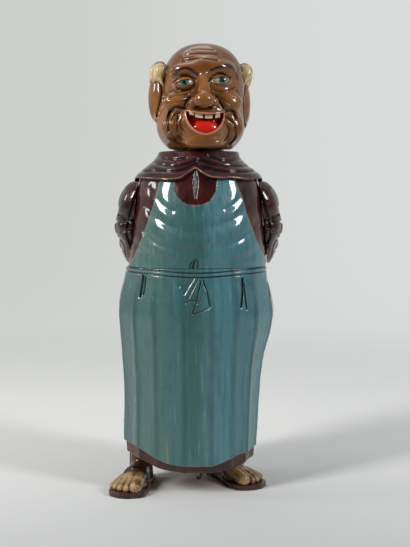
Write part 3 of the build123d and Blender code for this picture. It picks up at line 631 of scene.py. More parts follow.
# ------------------------------------------------------------------ lower block and its cover
@dataclass
class Habit(Carving):
    """The lower block: habit skirt under a bib apron, hollowed for the gears.

    Attributes:
        flutes: bearings of the ridges between the carved folds, in degrees from the front.
        fold_depth: how far a fold is hollowed between two ridges.
        pleats: short cuts under the apron string, in X and Z.
        ribbons: cuts that draw the ends of the bow.
    """

    flutes: tuple[float, ...] = (-180, -150, -122, -98, -74, -56, -39, -14, 12, 33, 52, 72, 98, 124, 152, 180)
    fold_depth: float = 2.1
    pleats: tuple[Cut, ...] = (
        Cut(((-35.6, 144.2), (-36.4, 138.0), (-37.6, 130.6)), 0.75, 1.3),
        Cut(((-34.0, 143.4), (-34.6, 137.0), (-35.6, 131.4)), 0.6, 0.9),
        Cut(((28.4, 142.4), (28.4, 133.0), (27.6, 124.6)), 0.75, 1.3),
        Cut(((29.4, 139.6), (30.2, 131.0), (31.2, 123.0)), 0.6, 1.0),
        Cut(((46.6, 138.0), (47.0, 129.0)), 0.7, 1.0),
        Cut(((-12.5, 143.5), (-12.2, 137.5)), 0.5, 0.5))
    ribbons: tuple[Cut, ...] = (
        Cut(((-3.0, 142.6), (-6.0, 138.0), (-9.2, 132.6)), 0.7, 0.6),
        Cut(((-0.4, 142.4), (-3.6, 136.0), (-7.8, 127.2)), 0.45, 0.75),
        Cut(((1.8, 141.4), (-0.4, 132.0), (-3.9, 120.4)), 0.45, 0.85),
        Cut(((3.2, 141.6), (6.0, 133.0), (7.6, 124.8)), 0.5, 0.95),
        Cut(((-3.9, 120.2), (1.0, 121.4), (6.6, 124.2)), 0.45, 0.85),
        Cut(((-7.8, 127.2), (-4.2, 129.2), (-0.8, 127.0)), 0.42, 0.7),
        Cut(((1.6, 140.2), (2.6, 134.0), (1.4, 127.6)), 0.4, 0.4))

    def hem(self, x: Values, rise: float) -> Values:
        """Height of the habit's hem."""
        at = (-70, -46, -36, -24, 0, 22, 36, 70)
        up = (9.5, 8.6, 5.8, 1.8, 0.0, 1.6, 5.0, 8.5)
        return HEM + rise + blend_curve(at, up, x)

    def apron_hem(self, x: Values) -> Values:
        """Height of the apron's lower edge, which dips and rises with the folds."""
        at = (-70, -50, -41, -34, -27, -19, -10, 3, 14, 20, 25, 32, 38, 44, 70)
        up = (17.6, 17.0, 15.2, 12.0, 8.6, 5.6, 4.9, 4.6, 6.0, 8.4, 10.4, 11.2, 12.8, 17.4, 19.0)
        return HEM + blend_curve(at, up, x)

    def folds(self, p: Points) -> Values:
        """Wood taken from between the ridges of the folds."""
        bearing = np.degrees(np.arctan2(p[:, 0], -p[:, 1]))
        ridges = np.float32(self.flutes)
        i = np.clip(np.searchsorted(ridges, bearing) - 1, 0, len(ridges) - 2)
        span = ridges[i + 1] - ridges[i]
        t = (bearing - ridges[i]) / span
        high = np.clip((144.0 - p[:, 2]) / 34.0, 0, 1)
        lower = np.clip((p[:, 2] - HEM) / 30.0, 0, 1)
        return self.fold_depth * (span / 26.0) * (4 * t * (1 - t)) ** 0.8 * high ** 0.8 * (0.7 + 0.3 * lower)

    def outside(self, p: Points) -> Values:
        """Distance to the block's outside, before anything is hollowed or cut off."""
        fold = self.folds(p)
        apron = rounded_block(p, SKIRT_RINGS, HEM, WAIST - HEM) + fold
        habit = apron + APRON_RELIEF
        x, z = p[:, 0], p[:, 2]
        front = np.maximum(p[:, 1] - APRON_BACK, self.apron_hem(x) - z)
        form = np.minimum(habit, within(apron, front, 0.5))
        form -= 0.4 * np.exp(-((z - self.string(x)) / 0.8) ** 2)
        facing = p[:, 1] < 0
        form += 0.8 * np.exp(-((z - self.string(x) + 1.5) / 0.45) ** 2)
        form += 0.7 * np.exp(-((z - self.string(x) - 1.3) / 0.45) ** 2)
        form += np.where(facing, cut_away(x, z, self.pleats + self.ribbons), 0)
        return form

    def string(self, x: Values) -> Values:
        """Height of the apron string, which sags in the middle of the front."""
        return WAIST - 1.4 - 2.6 * np.exp(-((x + 1.0) / 30.0) ** 2)

    def shape(self, p: Points) -> Values:
        """Distance to the lower block with its gear chamber, bores and recess."""
        x, z = p[:, 0], p[:, 2]
        form = self.outside(p)
        form = within(form, z - WAIST, 0.15)
        form = within(form, self.hem(x, 0.0) - z, 1.0)
        recess = rounded_block(p, RECESS_RINGS, HEM, 1.0, inset=7.0 + APRON_RELIEF)
        form = pare(form, np.maximum(recess, z - UNDERSIDE), 0.8)
        form = pare(form, block(p, *CHAMBER), 0.3)
        form = pare(form, block(p, *WINDOW), 0.0)
        form = pare(form, bore(p, 2, (0, 0), SPINDLE_WAY, 100, 200))
        form = pare(form, bore(p, 2, (0, 0), 4.35, 0, 60))
        form = pare(form, block(p, (-5, 5.8, 46), (5, 9, 60)))
        for sx, sz in SCREWS:
            form = pare(form, bore(p, 1, (sx, sz), SCREW_RADIUS, 20, 40))
        for side in (-30.0, 30.0):
            form = pare(form, bore(p, 2, (side, 0), DOWEL, WAIST - 8, 200))
        for ankle in ANKLES:
            form = pare(form, bore(p, 2, ankle, DOWEL, 0, UNDERSIDE + 8))
        return form

    def zones(self, p: Points) -> dict[str, Values]:
        """How far inside the apron each point is, and how near the ridge of a fold."""
        x, y, z = p.T
        inside = np.minimum(z - self.apron_hem(x), APRON_BACK - y)
        string = np.abs(z - self.string(x))
        bearing = np.degrees(np.arctan2(x, -y))
        ridge = np.min(np.abs(bearing[:, None] - np.float32(self.flutes)), axis=1)
        skin_gap = np.abs(self.outside(p))
        return {"apron": np.where(skin_gap < 0.8, np.where(y < APRON_BACK + 2, inside, -5.0), -5.0),
                "string": string, "ridge": ridge, "inner": skin_gap,
                "carved": cut_away(x, z, self.pleats + self.ribbons) * (y < 0), "seam": WAIST - z}

    def fine_parts(self, p: Points) -> np.ndarray:
        """The pleats, the bow, the string and the apron's lower edge."""
        x, y, z = p.T
        cuts = cut_away(x, z, [Cut(c.points, 2.0, 1.0) for c in self.pleats + self.ribbons]) > 0.3
        string = np.abs(z - self.string(x)) < 3.2
        hem = np.abs(z - self.apron_hem(x)) < 1.2
        return (y < APRON_BACK) & (cuts & (y < 0) | string | hem) & (np.abs(self.outside(p)) < 1.5)


@dataclass
class BackCover(Carving):
    """The piece sawn out of the lower block that closes the gear chamber."""

    block_form: Habit | None = None

    def shape(self, p: Points) -> Values:
        """Distance to the cover, with its screw recesses and the seat of the bush."""
        low = (WINDOW[0][0] + 0.2, WINDOW[0][1], WINDOW[0][2] + 0.2)
        high = (WINDOW[1][0] - 0.2, WINDOW[1][1], WINDOW[1][2] - 0.2)
        form = within(self.block_form.outside(p), block(p, low, high), 0.35)
        form = pare(form, bore(p, 1, (0, SHAFT_HEIGHT), 3.85, 20, 60))
        form = pare(form, bore(p, 1, (0, SHAFT_HEIGHT), 8.0, 35.6, 60), 0.3)
        for sx, sz in SCREWS:
            form = pare(form, bore(p, 1, (sx, sz), SCREW_RADIUS, 20, 60))
            form = pare(form, bore(p, 1, (sx, sz), 3.0, 32.4, 60), 0.25)
        return form

    def zones(self, p: Points) -> dict[str, Values]:
        """The cover is habit all over: none of it is apron."""
        return {"apron": np.full(len(p), -5.0), "string": np.full(len(p), 9.0),
                "ridge": np.full(len(p), 9.0), "inner": np.abs(self.block_form.outside(p)),
                "carved": np.zeros(len(p)), "seam": np.full(len(p), 9.0)}


# ------------------------------------------------------------------ upper block
@dataclass
class Chest(Carving):
    """The upper block: chest with the apron's bib, short cape and collar.

    Attributes:
        cape_folds: grooves of the cape, in X and Z.
        placket: the two cuts that draw the closed neckline.
        knot: cuts that draw the bow's loop over the apron string.
        drape: broad hollows of the bib, where it hangs from the shoulders.
    """

    cape_folds: tuple[Cut, ...] = (
        Cut(((-30.0, 217.6), (-20.0, 215.2), (-11.0, 215.4), (-1.5, 218.8)), 0.8, 1.2),
        Cut(((-38.0, 211.4), (-27.0, 212.0), (-16.0, 211.6), (-8.0, 213.6), (-1.7, 217.0)), 0.8, 1.3),
        Cut(((38.0, 211.6), (27.0, 211.2), (16.0, 211.8), (7.0, 213.8), (-1.7, 217.0)), 0.8, 1.3),
        Cut(((34.0, 214.8), (22.0, 215.0), (11.0, 216.2), (1.0, 219.4)), 0.8, 1.2),
        Cut(((-27.0, 221.0), (-18.0, 219.2), (-8.0, 220.0)), 0.7, 0.9),
        Cut(((28.0, 219.6), (17.0, 218.6), (7.0, 221.4)), 0.7, 1.0))
    placket: tuple[Cut, ...] = (
        Cut(((-1.7, 211.6), (-2.9, 204.0), (-1.7, 194.0)), 0.42, 0.8),
        Cut(((-1.7, 211.6), (-0.5, 204.0), (-1.7, 194.0)), 0.42, 0.8))
    knot: tuple[Cut, ...] = (
        Cut(((-5.4, 149.0), (-4.6, 152.6), (-1.8, 155.2), (-0.2, 153.4), (-0.8, 149.0)), 0.45, 0.8),
        Cut(((-3.4, 149.0), (-3.0, 152.0), (-2.2, 153.4)), 0.8, 1.1))
    drape: tuple[Cut, ...] = (
        Cut(((-34.0, 189.0), (-22.0, 178.5), (-8.0, 173.5), (2.0, 173.0)), 2.6, 0.8),
        Cut(((34.0, 191.0), (24.0, 181.5), (12.0, 176.5), (4.0, 175.5)), 2.6, 0.8),
        Cut(((-38.0, 176.0), (-27.0, 166.5), (-12.0, 161.5), (4.0, 160.5)), 2.8, 0.8),
        Cut(((38.0, 179.0), (28.0, 169.0), (16.0, 164.0), (4.0, 163.0)), 2.8, 0.8),
        Cut(((-42.0, 165.0), (-32.0, 157.5), (-18.0, 153.5)), 2.4, 0.7),
        Cut(((43.0, 165.0), (34.0, 157.5), (22.0, 154.0)), 2.4, 0.6),
        Cut(((-30.0, 202.0), (-24.0, 191.0), (-17.0, 186.0)), 2.2, 0.5),
        Cut(((30.0, 202.0), (25.0, 192.0), (18.0, 187.0)), 2.2, 0.5))

    def cape_edge(self, p: Points) -> Values:
        """Height of the cape's lower edge, peaked in front over the neckline."""
        at = (-60, -43, -30, -16, -11, -6.5, -1.7, 3.0, 7.5, 13, 22, 30, 43, 60)
        up = (208.0, 207.6, 206.6, 206.2, 207.2, 210.3, 213.0, 210.0, 207.8, 207.0, 207.2, 206.4,
              207.2, 207.6)
        front = blend_curve(at, up, p[:, 0])
        behind = 206.4 + 1.4 * np.cos(p[:, 0] / 14.0)
        t = np.clip((p[:, 1] + 4.0) / 8.0, 0, 1)
        return front * (1 - t) + behind * t

    def bib(self, p: Points) -> Values:
        """How far inside the bib each point is."""
        x, y, z = p.T
        heights = (149.0, 155.0, 164.6, 174.9, 183.4, 193.0, 206.0, 225.0)
        left = blend_curve(heights, (-47.0, -42.8, -38.4, -34.4, -31.2, -28.2, -24.7, -24.0), z)
        right = blend_curve(heights, (47.6, 44.6, 39.2, 34.8, 31.6, 28.8, 24.2, 23.0), z)
        span = np.minimum(x - left, right - x) * 0.93
        neck = (np.abs((x + 1.8) / 13.9) ** 2.5 + np.abs((z - 207.0) / 17.2) ** 2.5) ** 0.4
        round_neck = np.where(z < 207.0, (neck - 1) * 13.0, np.abs(x + 1.8) - 13.9)
        return np.minimum(np.minimum(span, round_neck), -y)

    def shape(self, p: Points) -> Values:
        """Distance to the upper block with its cape, bib, cuts and bores."""
        x, y, z = p.T
        chest = rounded_block(p, TORSO_RINGS, WAIST, COLLAR - WAIST)
        bib = self.bib(p)
        chest += 0.75 * (1 - np.clip(bib / 0.5 + 0.5, 0, 1))
        chest += np.where(y < 0, cut_away(x, z, self.placket + self.knot) + cut_away(x, z, self.drape), 0)
        hole = ball(p, (-1.7, -36.5, 211.4), (1.1, 4.0, 1.6))
        chest = within(chest, arm_flats(p), 0.3)
        chest = within(chest, z - 216.0)
        cape = rounded_block(p, CAPE_RINGS, 200.0, 25.0)
        front = y < 6
        cape += np.where(front, cut_away(x, z, self.cape_folds), 0)
        cape += np.where(front, 0.0, 0.35 * np.cos(np.degrees(np.arctan2(x, y)) / 5.2))
        cape = within(cape, self.cape_edge(p) - z, 1.0)
        form = merge(chest, cape, 0.2)
        form = pare(form, hole, 0.3)
        form = within(form, z - COLLAR, 0.9)
        form = within(form, WAIST - z, 0.15)
        form = pare(form, bore(p, 2, (0, 0), SPINDLE_WAY, 140, 240))
        form = pare(form, bore(p, 2, (0, 0), 6.85, COLLAR - 1.2, 240))
        for side in (-1.0, 1.0):
            form = pare(form, bore(p, 2, (side * 30.0, 0), DOWEL, 140, WAIST + 8))
            form = pare(form, bore(p, 0, (2.0, 198.1), DOWEL, *sorted((side * 32.2, side * 60.0))))
        return form

    def zones(self, p: Points) -> dict[str, Values]:
        """How far inside the bib each point is, and what is carved into it."""
        x, y, z = p.T
        bib = np.minimum(self.bib(p), self.cape_edge(p) - z)
        lip = np.abs(z - self.cape_edge(p) - 0.8)
        return {"apron": bib, "lip": lip,
                "carved": np.where(y < 6, cut_away(x, z, self.cape_folds + self.placket + self.knot), 0),
                "seam": z - WAIST, "ridge": np.full(len(p), 9.0), "string": np.full(len(p), 9.0)}

    def fine_parts(self, p: Points) -> np.ndarray:
        """The cape's cuts and edge, the neckline and the bib's edge, in front."""
        x, y, z = p.T
        cuts = self.cape_folds + self.placket + self.knot
        near = cut_away(x, z, [Cut(c.points, 2.0, 1.0) for c in cuts]) > 0.3
        edges = (np.abs(self.bib(p)) < 1.3) | (np.abs(z - self.cape_edge(p)) < 1.6)
        return (y < 8) & (near | edges)


# ------------------------------------------------------------------ arms
class Side(Enum):
    """Which side of the figure, as someone facing it sees it."""

    LEFT = -1
    RIGHT = 1


@dataclass
class Arm(Carving):
    """A sleeve from the shoulder back to a hand that rests in the other behind the back.

    Attributes:
        side: which side it hangs on.
        front_creases: cuts down the front of the sleeve and its elbow, in X and Z.
        creases: cuts across the elbow, in Y and Z.
    """

    side: Side = Side.RIGHT
    front_creases: tuple[Cut, ...] = (
        Cut(((38.5, 203.0), (42.5, 192.0), (45.8, 182.0)), 0.9, 1.5),
        Cut(((57.0, 183.6), (51.0, 182.0), (46.0, 179.0)), 0.9, 1.8),
        Cut(((46.0, 179.0), (47.6, 171.0), (45.0, 161.0)), 0.9, 1.2),
        Cut(((50.0, 199.0), (54.5, 189.0)), 1.6, 0.7),
        Cut(((56.0, 176.0), (52.6, 166.0), (50.0, 156.0)), 1.6, 0.7))
    creases: tuple[Cut, ...] = (
        Cut(((-14.0, 180.4), (-4.0, 178.6), (8.0, 178.2), (18.0, 180.6)), 0.9, 1.5),
        Cut(((-12.0, 174.6), (-2.0, 170.6), (8.0, 168.8)), 0.8, 1.0),
        Cut(((-6.0, 192.0), (4.0, 187.0), (14.0, 187.6)), 0.8, 0.8),
        Cut(((2.0, 166.6), (14.0, 168.0), (24.0, 173.4)), 0.8, 0.9),
        Cut(((8.0, 160.0), (20.0, 158.4), (32.0, 160.8)), 0.8, 0.8))

    def shape(self, p: Points) -> Values:
        """Distance to the arm."""
        q = p.copy()
        q[:, 0] *= self.side.value
        x, z = q[:, 0], q[:, 2]
        upper = ball(q, (36.5, 1.0, 195.0), (11.6, 14.0, 13.4))
        upper = merge(upper, ball(q, (43.0, 3.0, 189.0), (11.4, 14.6, 15.0)), 5.0)
        upper = merge(upper, ball(q, (46.0, 7.0, 175.0), (11.2, 15.6, 13.0)), 4.0)
        upper = merge(upper, ball(q, (43.6, 12.0, 160.5), (8.6, 14.5, 13.0)), 4.0)
        fore = rod(q, (44.4, 17.0, 163.6), (42.0, 29.0, 163.4), 10.6, 10.4)
        fore = merge(fore, rod(q, (42.0, 29.0, 163.4), (29.0, 38.0, 163.2), 10.4, 10.0), 4.0)
        fore = merge(fore, rod(q, (29.0, 38.0, 163.2), (16.6, 40.8, 163.0), 10.0, 9.0), 4.0)
        flare = ball(q, (15.4, 41.0, 163.0), (3.0, 9.3, 12.0))
        sleeve = merge(merge(upper, fore, 3.0), flare, 4.0)
        sleeve += self.creasing(q)
        sleeve = within(sleeve, 14.2 - x, 0.8)
        hollow = ball(q, (13.6, 41.0, 163.0), (4.0, 6.4, 9.2))
        sleeve = pare(sleeve, hollow, 0.8)
        form = merge(sleeve, self.hand(q), 0.3)
        form = pare(form, arm_flats(q), 0.2)
        form = within(form, z - 205.6, 1.2)
        form = within(form, (WAIST + 0.5) - z, 0.8)
        return pare(form, bore(q, 0, (2.0, 198.1), DOWEL, 30, arm_depth(198.1) + 8.0))

    def creasing(self, q: Points) -> Values:
        """Wood cut away along the sleeve's creases."""
        x, y, z = q.T
        return np.maximum(np.where(x > 20, cut_away(y, z, self.creases), 0),
                          np.where(y < 4, cut_away(x, z, self.front_creases), 0))

    def hand(self, q: Points) -> Values:
        """Distance to the hand, cut flat where it meets the other."""
        palm = ball(q, (10.0, 41.0, 163.0), (12.4, 5.4, 8.0))
        for i, level in enumerate((-5.6, -1.9, 1.8, 5.4)):
            finger = rod(q, (1.0, 44.8, 163.0 + level), (7.0 + 0.6 * i, 45.6, 163.4 + level), 2.0, 2.1)
            palm = merge(palm, finger, 0.7)
        thumb = rod(q, (10.0, 42.0, 170.4), (1.6, 43.4, 170.2), 2.6, 2.1)
        return within(merge(palm, thumb, 1.2), 0.15 - q[:, 0], 0.3)

    def zones(self, p: Points) -> dict[str, Values]:
        """Which points are hand, and how deep the creases are."""
        q = p.copy()
        q[:, 0] *= self.side.value
        cuff = np.minimum(14.6 - q[:, 0], 1.6 - self.hand(q))
        return {"hand": cuff, "carved": self.creasing(q)}


def arm_depth(z: float) -> float:
    """Half width of the body at the arm's flat, at a height."""
    return 47.0 - 9.5 * (z - WAIST) / (COLLAR - WAIST)


# ------------------------------------------------------------------ feet
@dataclass
class Foot(Carving):
    """A bare foot in a sandal, with grooves between its toes.

    Attributes:
        place: where its ankle stands.
        turn: how far it is turned, in degrees.
        flip: -1 where the big toe is on its left.
    """

    place: Pair = (0.0, 0.0)
    turn: float = 0.0
    flip: float = 1.0

    def local(self, p: Points) -> Points:
        """Points as the foot's carver holds it: toes towards -Y, big toe at +X."""
        c, s = math.cos(math.radians(self.turn)), math.sin(math.radians(self.turn))
        x, y = p[:, 0] - self.place[0], p[:, 1] - self.place[1]
        return np.stack([self.flip * (c * x + s * y), c * y - s * x, p[:, 2]], 1).astype(np.float32)

    def sole(self, q: Points) -> Values:
        """Distance to the sandal's sole."""
        x, y, z = q.T
        at = (-42.0, -38.0, -30.0, -22.0, -8.0, 4.0, 10.0, 13.6)
        inner = blend_curve(at, (2.5, 10.0, 12.6, 12.2, 9.2, 8.0, 6.6, 0.4), y)
        outer = blend_curve(at, (-2.5, -9.4, -12.6, -12.4, -9.2, -8.0, -6.6, -0.4), y)
        side = np.maximum(x - inner, outer - x)
        side = np.maximum(side, np.maximum(-41.6 - y, y - 13.4))
        return within(side, np.abs(z - 1.7) - 1.7, 0.5)

    def flesh(self, q: Points) -> Values:
        """Distance to the bare foot from heel to toes."""
        x, y, z = q.T
        at = (-37.0, -30.0, -22.0, -12.0, -2.0, 6.0, 12.0)
        wide = blend_curve(at, (8.6, 9.6, 9.8, 9.0, 7.6, 6.6, 5.0), y)
        tall = blend_curve(at, (5.0, 7.4, 10.8, 14.6, 17.0, 16.0, 11.0), y)
        m = ((np.abs(x) / wide) ** 2.3 + (np.maximum(z, 0) / tall) ** 2.3) ** (1 / 2.3)
        r = np.hypot(x, z)
        arch = r - np.where(m > 0.02, r / np.maximum(m, 0.02), wide)
        arch = within(arch, np.maximum(-26.0 - y, y - 11.0), 3.0)
        ankle = bore(q, 2, (0, 0), 7.0, 2, UNDERSIDE)
        form = merge(arch, ankle, 2.0)
        for tx, ty, reach, radius in ((6.6, -35.6, 19, 4.1), (0.9, -36.2, 20, 2.7), (-3.6, -35.0, 19, 2.6),
                                      (-7.5, -32.6, 16, 2.5), (-10.7, -29.4, 12, 2.2)):
            toe = rod(q, (tx, ty, 3.0 + radius * 0.8), (tx * 0.72, ty + reach, 9.6 - abs(tx) * 0.2),
                      radius, radius * 1.02)
            form = merge(form, toe, 0.25)
        return form

    def straps(self, q: Points) -> Values:
        """Distance to the two straps, before they are cut to the foot."""
        x, y, _ = q.T
        front = np.abs(y + 15.5 - 0.03 * x * x) - 1.6
        heel = np.abs(y - 0.5) - 1.6
        return np.minimum(front, heel)

    def shape(self, p: Points) -> Values:
        """Distance to the foot and its sandal."""
        q = self.local(p)
        z = q[:, 2]
        flesh = self.flesh(q)
        strap = within(flesh - 1.0, self.straps(q), 0.6)
        form = merge(flesh, strap, 0.2)
        nail = ball(q, NAIL, (1.3, 1.3, 1.3))
        form = merge(form, nail, 0.1)
        form = within(form, np.maximum(2.0 - z, z - UNDERSIDE))
        form = merge(form, self.sole(q), 0.25)
        return pare(form, bore(q, 2, (0, 0), DOWEL, UNDERSIDE - 8, 40))

    def zones(self, p: Points) -> dict[str, Values]:
        """Where the sole, the straps, the nail and the toes are."""
        q = self.local(p)
        bare = self.flesh(q)
        return {"sole": np.maximum(3.5 - q[:, 2], bare - 1.6),
                "strap": -np.maximum(self.straps(q), 0.45 - bare),
                "nail": 1.7 - np.linalg.norm(q - np.float32(NAIL), axis=1),
                "toes": -18.5 - q[:, 1], "up": q[:, 2]}

    def fine_parts(self, p: Points) -> np.ndarray:
        """The toes and straps."""
        q = self.local(p)
        return (q[:, 1] < -16.0) & (q[:, 2] > 3.0)


# ------------------------------------------------------------------ head
def egg(p: Points, centre: Trio, radii: Trio, fullness: float) -> Values:
    """Distance to a ball that is fuller at its shoulders than a stretched one.

    Args:
        p: the points.
        centre: its middle.
        radii: its three half widths.
        fullness: 2 for a plain ball, more for a fuller one.

    Returns:
        Distances, negative inside.
    """
    q = p - np.float32(centre)
    m = ((np.abs(q / np.float32(radii)) ** fullness).sum(axis=1)) ** (1 / fullness)
    r = np.linalg.norm(q, axis=1)
    return (r - np.where(m > 0.02, r / np.maximum(m, 0.02), min(radii))) * 0.92


@dataclass(frozen=True)
class Eye:
    """One eye: its middle, half width, how far it is open, its iris, where it looks and how it slants."""

    middle: Trio
    half_width: float
    half_height: float
    iris: float
    gaze: Pair
    slant: float = 0.0

    def opening(self, x: Values, z: Values) -> Values:
        """How far outside the open part of the lids each place is, in front view."""
        u = x - self.middle[0]
        w = z - self.middle[2] - self.slant * u
        lid = self.half_height * np.clip(1 - (u / self.half_width) ** 2, 0, 1) ** 0.8
        return np.maximum(np.abs(w) - lid, np.abs(u) - self.half_width)


@dataclass
class Head(Carving):
    """The head: a laughing bald man cut from one block, with hair, ears and four upper teeth.

    Attributes:
        yaw: how far the face looks to one side at rest, in degrees.
        folds: deep cuts of the cheeks and the smile.
        wrinkles: shallow cuts of the forehead and round the eyes.
        eyes: the two eyes.
        teeth: where each tooth starts and ends.
        brows: painted lines of the eyebrows.
    """

    yaw: float = 7.0
    folds: tuple[Cut, ...] = (
        Cut(((-11.5, 25.0), (-16.5, 26.0), (-20.1, 24.4), (-22.2, 20.4), (-22.9, 15.7), (-22.3, 11.0)),
            0.9, 1.3),
        Cut(((-15.2, 22.6), (-18.9, 20.6), (-20.5, 17.0), (-20.6, 12.6)), 0.5, 0.6),
        Cut(((-16.3, 20.4), (-17.1, 16.0), (-16.8, 10.4)), 0.55, 0.8),
        Cut(((-13.7, 19.2), (-14.9, 14.8), (-12.8, 10.9)), 0.5, 0.5),
        Cut(((11.9, 22.9), (16.0, 24.2), (19.6, 23.2), (21.4, 19.6)), 0.9, 1.3),
        Cut(((13.2, 20.6), (17.4, 18.2), (20.3, 13.8), (21.0, 8.1), (18.1, 2.8)), 0.7, 1.0),
        Cut(((13.2, 16.8), (16.0, 13.0), (16.0, 8.6), (13.2, 4.0)), 0.55, 0.7),
        Cut(((-8.4, 32.4), (-11.5, 28.9), (-12.6, 25.6)), 0.7, 1.0),
        Cut(((7.6, 33.1), (9.8, 29.6), (12.3, 25.8)), 0.7, 1.0))
    wrinkles: tuple[Cut, ...] = (
        Cut(((-6.5, 63.4), (0.0, 63.7), (8.0, 63.3)), 0.52, 0.36),
        Cut(((-11.5, 59.9), (-5.3, 60.4), (1.2, 60.5), (11.9, 60.0)), 0.60, 0.50),
        Cut(((-13.4, 56.2), (-7.8, 56.6), (-2.7, 57.0), (2.5, 56.4), (9.1, 55.8)), 0.60, 0.65),
        Cut(((-23.8, 33.1), (-22.0, 36.1), (-18.9, 37.2), (-14.0, 36.4), (-8.0, 37.6)), 0.52, 0.65),
        Cut(((-22.6, 31.1), (-18.3, 33.1), (-14.0, 33.8), (-10.0, 34.3)), 0.45, 0.50),
        Cut(((-18.6, 28.6), (-14.6, 29.2), (-11.2, 30.2)), 0.52, 0.58),
        Cut(((6.4, 36.6), (11.2, 36.0), (16.0, 36.8), (20.3, 39.4)), 0.52, 0.65),
        Cut(((8.0, 32.6), (12.6, 30.6), (17.0, 27.6)), 0.52, 0.58),
        Cut(((-26.8, 37.8), (-23.8, 40.1)), 0.45, 0.43), Cut(((-25.6, 33.9), (-22.6, 36.2)), 0.45, 0.43),
        Cut(((18.9, 40.6), (23.2, 41.8)), 0.45, 0.43), Cut(((21.7, 37.7), (24.7, 34.0)), 0.45, 0.50),
        Cut(((19.0, 32.6), (23.4, 30.2)), 0.45, 0.36),
        Cut(((-16.5, 7.8), (-11.5, 4.5), (-5.3, 2.9), (2.5, 3.2), (7.8, 4.5), (12.5, 6.8)), 0.60, 0.43),
        Cut(((-21.3, 10.5), (-17.7, 5.3), (-12.8, 1.3)), 0.60, 0.58))
    ear_creases: tuple[Cut, ...] = (
        Cut(((-27.4, 48.0), (-25.0, 40.0), (-25.6, 33.0), (-27.4, 26.0), (-28.4, 21.0)), 0.5, 1.3),
        Cut(((31.2, 43.0), (29.4, 37.0), (28.6, 30.5), (29.2, 22.5), (30.6, 16.0)), 0.5, 1.3))
    eyes: tuple[Eye, ...] = (Eye((-12.0, -25.6, 41.5), 6.0, 1.5, 2.5, (-12.8, 41.6), 0.14),
                             Eye((10.6, -25.6, 43.2), 6.8, 2.0, 2.9, (12.2, 43.4), 0.09))
    teeth: tuple[Pair, ...] = ((-9.7, -6.5), (-5.9, -0.8), (0.4, 5.4), (6.8, 10.1))
    brows: tuple[tuple[Pair, ...], ...] = (
        ((-18.9, 46.1), (-16.5, 49.1), (-12.8, 50.4), (-9.0, 49.4), (-4.6, 46.5)),
        ((4.4, 49.3), (7.8, 50.6), (14.6, 52.6), (18.1, 52.0), (21.0, 49.0), (22.8, 45.0)))

    def local(self, p: Points) -> Points:
        """Points as the carver holds the head: face towards -Y, underside at zero."""
        c, s = math.cos(math.radians(self.yaw)), math.sin(math.radians(self.yaw))
        x, y = p[:, 0], p[:, 1]
        return np.stack([c * x + s * y, c * y - s * x, p[:, 2] - CHIN], 1).astype(np.float32)

    def skull(self, q: Points) -> Values:
        """Distance to the bare form of the skull and jaw."""
        dome = egg(q, (3.0, 1.0, 39.6), (27.4, 31.5, 30.4), 2.35)
        jaw = ball(q, (1.2, -1.0, 16.0), (29.4, 31.0, 22.0))
        return merge(dome, jaw, 7.0)

    def face(self, q: Points) -> Values:
        """Distance to the skull with its brows, eyes, nose, cheeks and chin."""
        form = self.skull(q)
        for side, eye in zip((-1, 1), self.eyes):
            cx, _, cz = eye.middle
            ridge = ball(q, (cx, -26.4, cz + 8.6), (10.0, 5.4, 4.2), (0, side * 4, side * 18))
            form = merge(form, ridge, 4.0)
            form = merge(form, ball(q, (side * 16.6 - 0.6, -23.6, 29.4), (9.4, 7.4, 7.0)), 4.0)
            form = merge(form, ball(q, (side * 19.6, -20.6, 14.0), (7.4, 7.4, 9.0)), 4.0)
        form = merge(form, ball(q, (0.0, -27.0, 49.5), (7.0, 4.6, 7.0)), 5.0)
        form = merge(form, ball(q, (0.3, -25.2, 16.6), (14.6, 8.8, 14.0)), 2.5)
        form = merge(form, ball(q, (0.8, -24.6, 4.6), (13.0, 8.2, 6.4)), 3.0)
        for eye in self.eyes:
            cx, _, cz = eye.middle
            form = pare(form, ball(q, (cx, -36.9, cz + 0.2), (8.6, 7.2, 5.0)), 3.0)
        nose = rod(q, (-0.2, -30.2, 46.5), (-0.8, -36.8, 32.0), 2.9, 4.4)
        nose = merge(nose, ball(q, (-1.0, -38.4, 30.0), (6.5, 5.3, 5.1)), 1.5)
        for side in (-1, 1):
            nose = merge(nose, ball(q, (side * 6.6 - 1.0, -34.8, 28.9), (3.4, 4.4, 3.3)), 0.8)
        return merge(form, nose, 1.2)

    def lids(self, q: Points, form: Values) -> Values:
        """Sets eyeballs and lids in their sockets."""
        x, z = q[:, 0], q[:, 2]
        for eye in self.eyes:
            middle = eye.middle
            globe = ball(q, middle, (7.0, 5.6, 4.4))
            lid = ball(q, (middle[0], middle[1] + 0.1, middle[2] + 0.3), (7.9, 6.5, 5.0))
            lid = pare(lid, eye.opening(x, z), 0.35)
            fold = Cut(((middle[0] - 7.8, middle[2] - 0.6), (middle[0] - 4.6, middle[2] + 2.7),
                        (middle[0], middle[2] + 4.2), (middle[0] + 6.8, middle[2] + 2.0)), 0.55, 1.1)
            form = merge(merge(form, lid, 0.6) + fold.depth_at(x, z) * (q[:, 1] < -20), globe)
        return form

    def lip_line(self, x: Values) -> Values:
        """Height of the upper lip's edge."""
        return 21.1 + 0.0125 * (x - 2.0) ** 2

    def mouth(self, x: Values, z: Values) -> Values:
        """How far outside the open mouth each place is, in front view."""
        spread = (np.abs(x - 0.6) / 11.8) ** 1.85 + (np.abs(z - 21.5) / 12.0) ** 1.85
        oval = (spread ** (1 / 1.85) - 1) * 11.5
        top = self.lip_line(x)
        return np.maximum(oval, z - top)

